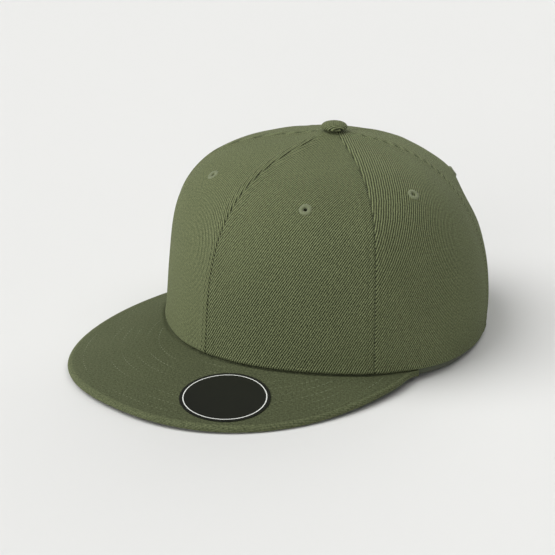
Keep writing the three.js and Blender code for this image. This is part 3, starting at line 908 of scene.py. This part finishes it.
def panel_bearings(panel, rows, columns):
    """The bearing of each grid point, where each row is as wide as the crown is between the seams"""
    start, end = panel["start"], panel["end"]
    centre = (start + end) / 2
    top_slant = float(slant_at_radius(centre, APEX_HOLE_RADIUS))
    bearings = np.zeros((rows + 1, columns + 1))
    for level in range(rows + 1):
        slant = np.array([level / rows * top_slant])
        left, right, middle = (crown_point(edge, slant)[0, :2] for edge in (start, end, centre))
        half_width = (np.linalg.norm(left - middle) + np.linalg.norm(right - middle)) / 2
        bearings[level] = start + panel_columns(half_width) / (2 * half_width) * (end - start)
    return bearings


def build_panel(panel):
    lines = Meridians(panel)
    last_hem = len(HEM_STEPS) - 1
    rows = last_hem + UPPER_ROWS
    columns = 2 * len(BAND_STEPS) + MIDDLE_COLUMNS - 2
    obj, row, column = flat_grid(f"panel_{panel['name']}_cloth", rows, columns)
    bearing = panel_bearings(panel, rows, columns)[row, column]
    foot_run = lines.run_at(bearing, lines.foot_at(bearing))
    full_run = lines.run_at(bearing, np.full_like(bearing, lines.slants[-1]))
    upper = np.clip((row - last_hem) / (rows - last_hem), 0, 1)
    hem = HEM_STEPS[np.minimum(row, last_hem)]
    run = foot_run + hem + upper * (full_run - foot_run - HEM_STEPS[-1])
    hem_distance = run - foot_run
    slant = lines.slant_at(bearing, run)
    plain = crown_point(bearing, slant)
    # Distance to the nearer seam, measured level
    nearer = np.minimum(bearing - panel["start"], panel["end"] - bearing)
    distance = np.radians(nearer) * np.hypot(plain[:, 0], plain[:, 1])
    depth = cloth_depth(panel, plain, distance, hem_distance)
    set_points(obj, to_frame(cloth_point(bearing, slant, depth)))
    pattern = lay_cutting_pattern(obj, lines, bearing, slant, panel)
    kept = {"bearing": bearing, "slant": slant, "hem": hem_distance}
    for name, values in kept.items():
        keep_value(obj, name, values)
    cut_eyelet_hole(obj, panel["name"])
    add_wall(obj, size("panel_wall"))
    half = len(obj.data.vertices) // 2
    bearing, slant, hem = (kept_value(obj, name)[half:] for name in kept)
    place_inner_side(obj, cloth_point(bearing, slant, size("panel_wall") - roll_in(hem, HEM_ROLL_INSIDE)))
    drop_values(obj, *kept)
    smooth(obj, 60)
    finish_piece(obj, "olive_cotton_twill", "crown_twill", f"panel_{panel['name']}")


def eyelet_frame(name):
    """The eyelet's centre on the cloth, and its outward direction"""
    bearing, height = EYELETS[name]
    bearing = np.array([float(bearing)])
    slant = slant_at_height(bearing, height)
    return crown_point(bearing, slant)[0], crown_normal(bearing, slant)[0]


def cut_eyelet_hole(obj, name):
    centre, _ = eyelet_frame(name)
    centre = Vector(to_frame(centre))
    cut = bmesh.new()
    cut.from_mesh(obj.data)
    reach = EYELET_CUT_RADIUS * MM
    near = [face for face in cut.faces if (face.calc_center_median() - centre).length < reach]
    bmesh.ops.delete(cut, geom=near, context="FACES")
    cut.to_mesh(obj.data)
    cut.free()


class CAP_OT_panels(bpy.types.Operator):
    """Six twill panels, each laid on the crown from a flat sheet"""

    bl_idname = "cap.panels"
    bl_label = "Crown panels"

    def execute(self, context):
        for panel in PANELS:
            build_panel(panel)
        return {"FINISHED"}


# Seam stitches

# Where the rows start and end, as slants
SEAM_FOOT = 0.012
SEAM_ROWS_TOP = 0.955
SEAM_BRIDGES_TOP = 0.965
# Depths and sizes of the threads, in millimetres
SEAM_ROW_DEPTH = 0.16
BRIDGE_PITCH = 1.7
BRIDGE_REACH = 0.75
BRIDGE_DEPTH = 0.38
BRIDGE_WIDTH = 0.55
BRIDGE_HEIGHT = 0.4


def seam_line(bearing, offset, start, end):
    """Bearings and slants of a line on the crown, offset millimetres to the left of a seam"""
    slants = np.linspace(start, end, 400)
    bearings = np.full(len(slants), float(bearing))
    points = crown_point(bearings, slants)
    radius = np.maximum(np.hypot(points[:, 0], points[:, 1]), 6)
    return bearings + np.degrees(offset / radius), slants


def stitches_on_crown(bearings, slants, depth):
    """Points and faces of a row of stitches along a line on the crown"""
    points = cloth_point(bearings, slants, depth)
    starts, ends, middles = spread_along(points, size("stitch_pitch"), size("stitch_length"))
    normals = crown_normal(bearings, slants)[nearest_on_line(points, middles)]
    return stitch_row(starts, ends, normals, size("thread"), size("thread"))


def bridging_threads(bearings, slants):
    """Points and faces of the short threads across a seam's groove"""
    points = cloth_point(bearings, slants, BRIDGE_DEPTH)
    _, _, middles = spread_along(points, BRIDGE_PITCH, 0.0)
    nearest = nearest_on_line(points, middles)
    normals = crown_normal(bearings, slants)[nearest]
    tangents = unit(np.gradient(points, axis=0))[nearest]
    sideways = unit(np.cross(normals, tangents)) * BRIDGE_REACH
    return stitch_row(middles - sideways, middles + sideways, normals, BRIDGE_WIDTH, BRIDGE_HEIGHT)


class CAP_OT_seam_stitches(bpy.types.Operator):
    """Stitch rows beside each seam, and the short threads that bridge its groove"""

    bl_idname = "cap.seam_stitches"
    bl_label = "Seam stitches"

    def execute(self, context):
        above_arch = float(slant_at_height(180.0, ARCH_HEIGHT + 2.0))
        for seam in (0, 60, 120, 180, -120, -60):
            foot = above_arch if seam == 180 else SEAM_FOOT
            rows = []
            for offset in (-size("topstitch"), size("topstitch")):
                line = seam_line(seam, offset, foot, SEAM_ROWS_TOP)
                rows.append(stitches_on_crown(*line, SEAM_ROW_DEPTH))
            rows.append(bridging_threads(*seam_line(seam, 0, foot, SEAM_BRIDGES_TOP)))
            piece = thread_piece(f"seam_thread_{seam % 360}", rows)
            finish_piece(piece, "spun_polyester_thread", "eyelet_thread")
        return {"FINISHED"}


# Eyelets

EYELET_THREADS = 22
EYELET_SINK = 0.58


class CAP_OT_eyelets(bpy.types.Operator):
    """Six sewn eyelets: thick rings of thread wound through each panel"""

    bl_idname = "cap.eyelets"
    bl_label = "Eyelets"

    def execute(self, context):
        middle = (size("eyelet_radius") + size("eyelet_hole")) / 2
        deselect_all()
        bpy.ops.mesh.primitive_torus_add(
            major_radius=middle, minor_radius=(size("eyelet_radius") - size("eyelet_hole")) / 2,
            major_segments=EYELET_THREADS * 6, minor_segments=18,
        )
        model = bpy.context.object
        points = get_points(model)
        turn = np.arctan2(points[:, 1], points[:, 0])
        reach = np.hypot(points[:, 0], points[:, 1])
        # Threads lie side by side across the ring, and a few are thicker than the rest.
        ridge = 0.5 + 0.5 * np.cos(EYELET_THREADS * turn)
        for name, (bearing, _) in EYELETS.items():
            uneven = 1 + 0.25 * np.sin(3 * turn + bearing) * np.sin(7 * turn)
            swell = 1 + 0.16 * ridge * uneven
            wide = middle + (reach - middle) * np.where(reach > middle, swell, 1)
            height = points[:, 2] * 0.95 * swell - EYELET_SINK
            local = np.stack([wide * np.cos(turn), wide * np.sin(turn), height], -1)
            ring = own_copy(model, f"eyelet_{name}_ring")
            set_points(ring, to_frame(set_down(local, *eyelet_frame(name))))
            smooth(ring, 80)
            finish_piece(ring, "spun_polyester_thread", "eyelet_thread", f"eyelet_{name}")
        bpy.data.objects.remove(model)
        return {"FINISHED"}


# Button

DOME_HEIGHT = 3.4
DOME_SWELL = 0.9
DOME_LIP = 1.25
DOME_ROUNDNESS = 1.25
DOME_INSET = 0.12
POST_RADIUS = 2.3
POST_OVERLAP = 0.4


class CAP_OT_button(bpy.types.Operator):
    """The covered button: cloth pulled over a shallow metal dome, on its post"""

    bl_idname = "cap.button"
    bl_label = "Button"

    def execute(self, context):
        low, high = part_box("top_button")
        radius = (high.x - low.x) / 2 / MM - DOME_INSET
        centre_x = (high.x + low.x) / 2 / MM
        bottom, top = low.z / MM, high.z / MM
        base = top - DOME_HEIGHT
        deselect_all()
        bpy.ops.mesh.primitive_uv_sphere_add(segments=96, ring_count=48, radius=1.0, calc_uvs=False)
        dome = bpy.context.object
        x, y, up = get_points(dome).T
        turn = np.arctan2(y, x)
        flat = np.clip(np.hypot(x, y), 0, 1)
        over = DOME_LIP + (DOME_HEIGHT + DOME_SWELL - DOME_LIP) * np.abs(up) ** 0.85
        under = DOME_LIP * (1 - np.abs(up) ** 0.9)
        height = np.where(up >= 0, over, under)
        # Cloth gathered under the edge makes shallow pleats.
        pleats = 0.1 * np.cos(15 * turn + 0.8 * np.sin(3 * turn)) * np.clip(1 - np.abs(up) * 1.3, 0, 1)
        reach = flat ** (1 / DOME_ROUNDNESS) * radius + pleats * flat
        reach = np.where(up < 0, np.minimum(reach, (radius + pleats) * flat), reach)
        local = np.stack([reach * np.cos(turn), reach * np.sin(turn), height + base], -1)
        local += [centre_x, -APEX_FORWARD, 0]
        set_points(dome, to_frame(local))
        set_uv(dome, "cloth", np.stack([local[:, 0], local[:, 1] + (local[:, 2] - top) * 0.6], -1) * MM)
        smooth(dome, 80)
        deselect_all()
        post_height = base - bottom + POST_OVERLAP
        place = to_frame([centre_x, -APEX_FORWARD, bottom + post_height / 2])
        bpy.ops.mesh.primitive_cylinder_add(
            vertices=24, radius=POST_RADIUS * MM, depth=post_height * MM, location=place
        )
        post = bpy.context.object
        bpy.ops.object.transform_apply(location=True, rotation=True, scale=True)
        post.data.uv_layers[0].name = "cloth"
        button = join([dome, post], "covered_button")
        finish_piece(button, "olive_cotton_twill", "button_cloth", "top_button")
        return {"FINISHED"}


# Brim

BRIM_CREASE = 1.1
BRIM_ROWS = 8
BRIM_FIRST_ROW = 9.0
BRIM_ROW_SINK = 0.13


class CAP_OT_peak(bpy.types.Operator):
    """The flat brim: twill over a board, with a rounded edge"""

    bl_idname = "cap.peak"
    bl_label = "Brim"

    def execute(self, context):
        near_rim = [0, 0.006, 0.012, 0.02, 0.03, 0.043]
        near_edge = 1 - np.geomspace(0.14, 0.0015, 10)
        acrosses = np.concatenate([near_rim, np.linspace(0.06, 0.86, 20)[:-1], near_edge])
        nose_steps = np.radians(np.linspace(0, 180, 15)[1:-1])
        along_count = 190
        shares = np.sin(np.linspace(-1, 1, along_count + 1) * math.pi / 2 * 0.94)
        columns = 2 * (len(acrosses) + 1) + len(nose_steps)
        obj, row, column = flat_grid("brim_cloth", along_count, columns)
        sections = [self.section(along, acrosses, nose_steps) for along in PEAK_END * shares / shares.max()]
        grid, plan = (np.array(part) for part in zip(*sections))
        if grid.shape[1] != columns + 1:
            raise RuntimeError(f"the brim's section has {grid.shape[1]} points, not {columns + 1}")
        set_points(obj, to_frame(grid[row, column]))
        set_uv(obj, "cloth", plan[row, column] * MM)
        # Painted highlight along the brim's rounded edge, which turns towards the light
        painted_edge_highlight = np.zeros(columns + 1)
        painted_edge_highlight[len(acrosses) - 4 : len(acrosses) + len(nose_steps) + 3] = 1.0
        keep_value(obj, "painted_edge_highlight", painted_edge_highlight[column])
        faces_out(obj, merge=1e-6, close=True)
        smooth(obj, 50)
        finish_piece(obj, "olive_cotton_twill_brim_shaded", "peak_twill", "peak")
        return {"FINISHED"}

    def section(self, along, acrosses, nose_steps):
        """The brim's section as a closed loop of points, and each one's place in the cutting pattern"""
        edge, rim = peak_edge_point(along), peak_rim_point(along, 0)
        width = np.linalg.norm(edge - rim)
        nose = min(PEAK_NOSE, 0.45 * width) / width
        flat = peak_top_point(np.full(len(acrosses), along), acrosses * (1 - nose))
        top = flat.copy()
        # The board's edge shows through as a slight ridge, and the cloth dips at the crown's seam.
        from_edge = width * (1 - acrosses * (1 - nose))
        top[:, 2] += 0.12 * np.exp(-(((from_edge - 4.5) / 1.6) ** 2)) * min(1, width / 20)
        top[:, 2] += 0.5 * gentle_waves(top) * min(1, width / 30)
        top[:, 2] -= BRIM_CREASE * np.exp(-((width * acrosses / 1.1) ** 2)) * min(1, width / 20)
        inside = peak_rim_point(along, size("panel_wall"))[None]
        reach = 1 - nose + nose * np.sin(nose_steps)
        rounds = peak_top_point(np.full(len(nose_steps), along), reach)
        rounds[:, 2] -= PEAK_THICKNESS * (1 - np.cos(nose_steps)) / 2
        drop = np.array([0, 0, PEAK_THICKNESS])
        rest = [flat[::-1] - drop, inside - drop, inside]
        outward = unit((edge - rim)[None])[0]
        unrolled = top[-1] + (PEAK_THICKNESS / 2 * nose_steps)[:, None] * outward
        pattern = np.concatenate([inside, top, unrolled, *rest])[:, :2]
        return np.concatenate([inside, top, rounds, *rest]), pattern


def peak_row_line(distance, side):
    """A line on the brim's top or underside at a distance from its outer edge, where it is wide enough"""
    alongs = np.linspace(-0.97, 0.97, 900)
    widths = peak_width(alongs)
    wide = widths > distance + 3.0
    alongs, widths = alongs[wide], widths[wide]
    points = peak_top_point(alongs, 1 - distance / widths)
    points[:, 2] -= BRIM_ROW_SINK if side > 0 else PEAK_THICKNESS - BRIM_ROW_SINK
    return points


class CAP_OT_peak_stitches(bpy.types.Operator):
    """Stitch rows along the brim, over and under it"""

    bl_idname = "cap.peak_stitches"
    bl_label = "Brim stitches"

    def execute(self, context):
        for side, name in ((1, "brim_thread_top"), (-1, "brim_thread_under")):
            rows = []
            for index in range(BRIM_ROWS):
                line = peak_row_line(BRIM_FIRST_ROW + index * size("peak_row_pitch"), side)
                if len(line) < 20:
                    continue
                starts, ends, _ = spread_along(line, size("stitch_pitch"), size("stitch_length"))
                normals = np.tile([0.0, 0.0, float(side)], (len(starts), 1))
                rows.append(stitch_row(starts, ends, normals, size("thread"), size("thread") * 0.9))
            finish_piece(thread_piece(name, rows), "spun_polyester_thread", "peak_twill")
        return {"FINISHED"}


class CAP_OT_sticker(bpy.types.Operator):
    """The round film sticker on the brim, bare but for a plain ring"""

    bl_idname = "cap.sticker"
    bl_label = "Sticker"

    def execute(self, context):
        deselect_all()
        bpy.ops.mesh.primitive_circle_add(vertices=96, radius=1.0, fill_type="NGON", calc_uvs=False)
        disc = bpy.context.object
        disc.name = "film_sticker"
        bpy.ops.object.mode_set(mode="EDIT")
        bpy.ops.mesh.select_all(action="SELECT")
        for thickness in (0.012, 0.05, 0.1, 0.15, 0.2, 0.2, 0.2):
            bpy.ops.mesh.inset(thickness=thickness, use_even_offset=True)
        bpy.ops.mesh.poke()
        bpy.ops.object.mode_set(mode="OBJECT")
        unit_disc = get_points(disc)[:, :2]
        centre = peak_top_point(STICKER_ALONG, STICKER_ACROSS)
        flat = unit_disc * STICKER_RADIUS + centre[:2]
        local = np.concatenate([flat, sticker_heights(flat)[:, None] + GAP], 1)
        set_points(disc, to_frame(local))
        set_uv(disc, "cloth", unit_disc)
        apply_modifier(disc, "SOLIDIFY", thickness=0.25 * MM, offset=1, use_rim=True)
        smooth(disc, 40)
        finish_piece(disc, "printed_vinyl_film", "sticker_film", "peak_sticker")
        return {"FINISHED"}


def sticker_heights(places):
    """Height of the brim's top under each place, found on a fine grid of its surface"""
    alongs, acrosses = np.meshgrid(np.linspace(0.0, 0.62, 120), np.linspace(0.0, 1.0, 90), indexing="ij")
    surface = peak_top_point(alongs.ravel(), acrosses.ravel())
    heights = []
    for place in places:
        gap = ((surface[:, :2] - place) ** 2).sum(1)
        near = np.argsort(gap)[:4]
        weight = 1 / (gap[near] + 0.01)
        heights.append((surface[near, 2] * weight).sum() / weight.sum())
    return np.array(heights)


# Sweatband and strap

BAND_THICKNESS = 1.2
BAND_HEIGHT = 30.0
BAND_LOWEST = 0.6
BAND_TURN_IN = 3.0
BAND_RADIUS = 91
STRAP_RADIUS = 95.0
STRAP_LAYER_RADIUS = 93
STRAP_ROUND_ENDS = 6.0
SNAP_HEIGHT = 1.3
BEVEL_ANGLE = math.radians(50)


class CAP_OT_sweatband(bpy.types.Operator):
    """The cotton sweatband inside the rim, with a stitch row along its upper edge"""

    bl_idname = "cap.sweatband"
    bl_label = "Sweatband"

    def execute(self, context):
        outer = size("panel_wall") + GAP
        rows, columns = 24, 220
        obj, row, column = flat_grid("sweatband_cotton", rows, columns)
        bearing = SWEATBAND_END * (2 * column / columns - 1)
        rim = np.maximum(0, round_curve(RIM_HEIGHTS, bearing))
        bottom = np.maximum(BAND_LOWEST, rim - GAP - PEAK_THICKNESS)
        share = row / rows
        height = bottom + share * (rim + BAND_HEIGHT - bottom)
        slant = slant_at_height(bearing, np.maximum(height, rim + 0.01))
        edge = np.minimum(share, 1 - share) * (BAND_HEIGHT + BAND_TURN_IN)

        def side(depth):
            points = cloth_point(bearing, slant, depth)
            points[:, 2] = np.where(height < rim, height, points[:, 2])
            return points

        rounded = roll_in(edge, BAND_THICKNESS / 2) * 0.8
        set_points(obj, to_frame(side(outer + rounded)))
        set_uv(obj, "cloth", np.stack([np.radians(bearing) * BAND_RADIUS, height], -1) * MM)
        add_wall(obj, BAND_THICKNESS)
        ripple = 0.15 * np.sin(np.radians(bearing) * 23) * share
        place_inner_side(obj, side(outer + BAND_THICKNESS - rounded + ripple))
        smooth(obj, 60)
        finish_piece(obj, "brushed_cotton_band", "sweatband_cloth", "sweatband")
        bearings = np.linspace(-SWEATBAND_END + 1, SWEATBAND_END - 1, 1200)
        levels = np.maximum(0, round_curve(RIM_HEIGHTS, bearings)) + BAND_HEIGHT - 3.0
        slants = slant_at_height(bearings, levels)
        stitches = stitches_on_crown(bearings, slants, outer + BAND_THICKNESS + 0.1)
        piece = thread_piece("sweatband_thread", [stitches])
        finish_piece(piece, "spun_polyester_thread", "sweatband_cloth")
        return {"FINISHED"}


def strap_band(name, start, end, outer, inner, rounding):
    """One layer of the snap strap, with its ends rounded over a length, or square where that is 0"""
    rows, columns = 14, 110
    obj, row, column = flat_grid(name, rows, columns)
    share = column / columns
    bearing = start + (end - start) * share
    from_end = np.minimum(share, 1 - share) * np.radians(end - start) * STRAP_LAYER_RADIUS
    squeeze = np.clip(from_end / rounding, 0, 1) if rounding else 1.0
    half = STRAP_HEIGHT / 2
    reach = np.maximum(half * np.sqrt(1 - (1 - squeeze) ** 2), 0.6)
    height = STRAP_BASE + half + (2 * row / rows - 1) * reach
    slant = slant_at_height(bearing, height)
    set_points(obj, to_frame(cloth_point(bearing, slant, outer)))
    add_wall(obj, 1.0)
    place_inner_side(obj, cloth_point(bearing, slant, inner))
    apply_modifier(obj, "BEVEL", width=0.35 * MM, segments=3, limit_method="ANGLE", angle_limit=BEVEL_ANGLE)
    return obj


def snap_model(radius):
    """A moulded snap at the origin: a low stud with a dished top, made from a cylinder primitive"""
    deselect_all()
    bpy.ops.mesh.primitive_cylinder_add(
        vertices=40, radius=radius * MM, depth=SNAP_HEIGHT * MM, calc_uvs=False
    )
    stud = bpy.context.object
    bpy.ops.object.mode_set(mode="EDIT")
    bpy.ops.mesh.select_mode(type="FACE")
    bpy.ops.mesh.select_all(action="DESELECT")
    model = bmesh.from_edit_mesh(stud.data)
    for face in model.faces:
        face.select_set(face.normal.z > 0.9)
    bmesh.update_edit_mesh(stud.data)
    bpy.ops.mesh.inset(thickness=radius * 0.32 * MM)
    bpy.ops.transform.translate(value=(0, 0, -SNAP_HEIGHT * 0.4 * MM))
    bpy.ops.object.mode_set(mode="OBJECT")
    apply_modifier(stud, "BEVEL", width=0.2 * MM, segments=3, limit_method="ANGLE", angle_limit=BEVEL_ANGLE)
    return stud


class CAP_OT_strap(bpy.types.Operator):
    """The closed snap strap across the rear arch"""

    bl_idname = "cap.strap"
    bl_label = "Snap strap"

    def execute(self, context):
        inner = size("panel_wall") + GAP
        wall = size("strap_wall")
        overlap = math.degrees(STRAP_OVERLAP_HALF_WIDTH / STRAP_RADIUS)
        parts = [
            strap_band("strap_inner", STRAP_END, 360 - STRAP_END, inner, inner + wall, 0),
            strap_band(
                "strap_outer", 180 - overlap, 180 + overlap, inner - wall, inner - 0.05, STRAP_ROUND_ENDS
            ),
        ]
        model = snap_model(size("snap_radius"))
        local = get_points(model) / MM
        for snap in range(SNAP_COUNT):
            offset = (snap - (SNAP_COUNT - 1) / 2) * SNAP_PITCH
            bearing = np.array([180 + math.degrees(offset / STRAP_RADIUS)])
            slant = slant_at_height(bearing, STRAP_BASE + STRAP_HEIGHT / 2)
            normal = crown_normal(bearing, slant)[0]
            centre = cloth_point(bearing, slant, inner - wall)[0] + normal * SNAP_HEIGHT * 0.35
            stud = own_copy(model, f"snap_{snap}")
            set_points(stud, to_frame(set_down(local, centre, normal)))
            parts.append(stud)
        bpy.data.objects.remove(model)
        strap = join(parts, "snap_strap")
        smooth(strap, 40)
        finish_piece(strap, "moulded_polyethylene_strap", "strap_plastic", "rear_strap")
        return {"FINISHED"}


class CAP_OT_arch_stitches(bpy.types.Operator):
    """Two stitch rows round the rear arch, which hold its hem and the strap's ends"""

    bl_idname = "cap.arch_stitches"
    bl_label = "Arch stitches"

    def execute(self, context):
        rows = [self.arch_row(gap) for gap in (2.0, 6.6)]
        finish_piece(thread_piece("arch_thread", rows), "spun_polyester_thread", "eyelet_thread")
        return {"FINISHED"}

    def arch_row(self, gap):
        """One row of stitches, a gap outside the arch's edge"""
        turns = np.linspace(0.03, math.pi - 0.03, 700)
        x = (ARCH_HALF_WIDTH + gap) * np.cos(turns)
        z = (ARCH_HEIGHT + gap) * np.sin(turns)

        def is_beyond(bearings):
            return crown_point(bearings, slant_at_height(bearings, z))[:, 0] > x

        bearings = halve_in(np.full_like(x, 90.0), np.full_like(x, 270.0), is_beyond, 24)
        return stitches_on_crown(bearings, slant_at_height(bearings, z), -0.2)


# Stage

# Each light: its bearing and height, given as the camera's are, and its strength
LIGHTS = {
    "key": (-40, 55, 2.6),
    "front": (20, 12, 1.4),
    "back": (130, 70, 0.7),
    "far": (200, 22, 1.2),
}
LIGHT_SPREAD = 50
CAMERA_AZIMUTH = 44.15
CAMERA_ELEVATION = 21.22
CAMERA_DISTANCE = 1100.0
CAMERA_ACROSS = -32.81
CAMERA_UP = 25.0
FOCAL_IN_FRAMES = 1923 / 555
SENSOR_WIDTH = 36.0


def towards(azimuth, elevation):
    """The direction from the cap to a camera or light: azimuth 0 is in front, 90 on the wearer's left"""
    turn, rise = math.radians(azimuth), math.radians(elevation)
    return Vector((math.sin(turn) * math.cos(rise), -math.cos(turn) * math.cos(rise), math.sin(rise)))


def look_along(obj, direction):
    obj.rotation_mode = "QUATERNION"
    obj.rotation_quaternion = direction.to_track_quat("-Z", "Y")


class CAP_OT_stage(bpy.types.Operator):
    """A plain pale floor, soft studio lights and the camera"""

    bl_idname = "cap.stage"
    bl_label = "Stage"

    def execute(self, context):
        deselect_all()
        bpy.ops.mesh.primitive_plane_add(size=60.0, location=(0, 0, 0))
        floor = bpy.context.object
        floor.name = "floor"
        floor.data.materials.append(material("matt_painted_floor"))
        world = bpy.data.worlds.new("soft_studio")
        world.use_nodes = True
        tree = world.node_tree
        # A pale backdrop stands round the floor, and the studio is dim above it.
        look = add_node(tree, "TexCoord").outputs["Generated"]
        split = add_node(tree, "SeparateXYZ", {0: look})
        ends = {"From Min": 0.18, "From Max": 0.3, "To Min": 0.5, "To Max": 0.03}
        backdrop = add_node(tree, "MapRange", {"Value": split.outputs["Z"], **ends})
        tree.links.new(backdrop.outputs["Result"], tree.nodes["Background"].inputs["Strength"])
        tree.nodes["Background"].inputs["Color"].default_value = (1, 1, 1, 1)
        context.scene.world = world
        context.scene.view_settings.view_transform = "Standard"
        for name, (azimuth, elevation, strength) in LIGHTS.items():
            self.add_light(name, towards(azimuth, elevation), strength)
        self.add_camera()
        return {"FINISHED"}

    def add_light(self, name, back, strength):
        """A broad soft light"""
        bpy.ops.object.light_add(type="SUN", location=back * 1.5)
        light = bpy.context.object
        light.name = f"{name}_light"
        light.data.angle = math.radians(LIGHT_SPREAD)
        light.data.energy = strength
        look_along(light, -back)

    def add_camera(self):
        """The camera at the photograph's viewing angle, found by fitting the cap's outline"""
        back = towards(CAMERA_AZIMUTH, CAMERA_ELEVATION)
        right = towards(CAMERA_AZIMUTH + 90, 0)
        place = right * CAMERA_ACROSS + back.cross(right) * CAMERA_UP + back * CAMERA_DISTANCE
        bpy.ops.object.camera_add(location=to_frame(place))
        camera = bpy.context.object
        look_along(camera, -back)
        camera.data.sensor_width = SENSOR_WIDTH
        camera.data.lens = FOCAL_IN_FRAMES * SENSOR_WIDTH
        bpy.context.scene.camera = camera


class CAP_PT_panel(bpy.types.Panel):
    """Lists the cap's pieces in the sidebar"""

    bl_idname = "CAP_PT_panel"
    bl_label = "Six-panel cap"
    bl_space_type = "VIEW_3D"
    bl_region_type = "UI"
    bl_category = "Cap"

    def draw(self, context):
        layout = self.layout
        for operator in OPERATORS:
            layout.operator(operator.bl_idname)
        for group in (context.scene.cap_sizes, context.scene.cap_colours):
            for name in group.__annotations__:
                layout.prop(group, name)


OPERATORS = (
    CAP_OT_stage,
    CAP_OT_panels,
    CAP_OT_seam_stitches,
    CAP_OT_eyelets,
    CAP_OT_button,
    CAP_OT_peak,
    CAP_OT_peak_stitches,
    CAP_OT_sticker,
    CAP_OT_sweatband,
    CAP_OT_strap,
    CAP_OT_arch_stitches,
)
CLASSES = (CapSizes, CapColours, *OPERATORS, CAP_PT_panel)


def register():
    for cls in CLASSES:
        bpy.utils.register_class(cls)
    bpy.types.Scene.cap_sizes = bpy.props.PointerProperty(type=CapSizes)
    bpy.types.Scene.cap_colours = bpy.props.PointerProperty(type=CapColours)


def unregister():
    del bpy.types.Scene.cap_colours
    del bpy.types.Scene.cap_sizes
    for cls in reversed(CLASSES):
        bpy.utils.unregister_class(cls)


def main():
    register()
    deselect_all()
    bpy.ops.cap.stage()
    bpy.ops.cap.panels()
    bpy.ops.cap.seam_stitches()
    bpy.ops.cap.eyelets()
    bpy.ops.cap.button()
    bpy.ops.cap.peak()
    bpy.ops.cap.peak_stitches()
    bpy.ops.cap.sticker()
    bpy.ops.cap.sweatband()
    bpy.ops.cap.strap()
    bpy.ops.cap.arch_stitches()


if __name__ == "__main__":
    main()
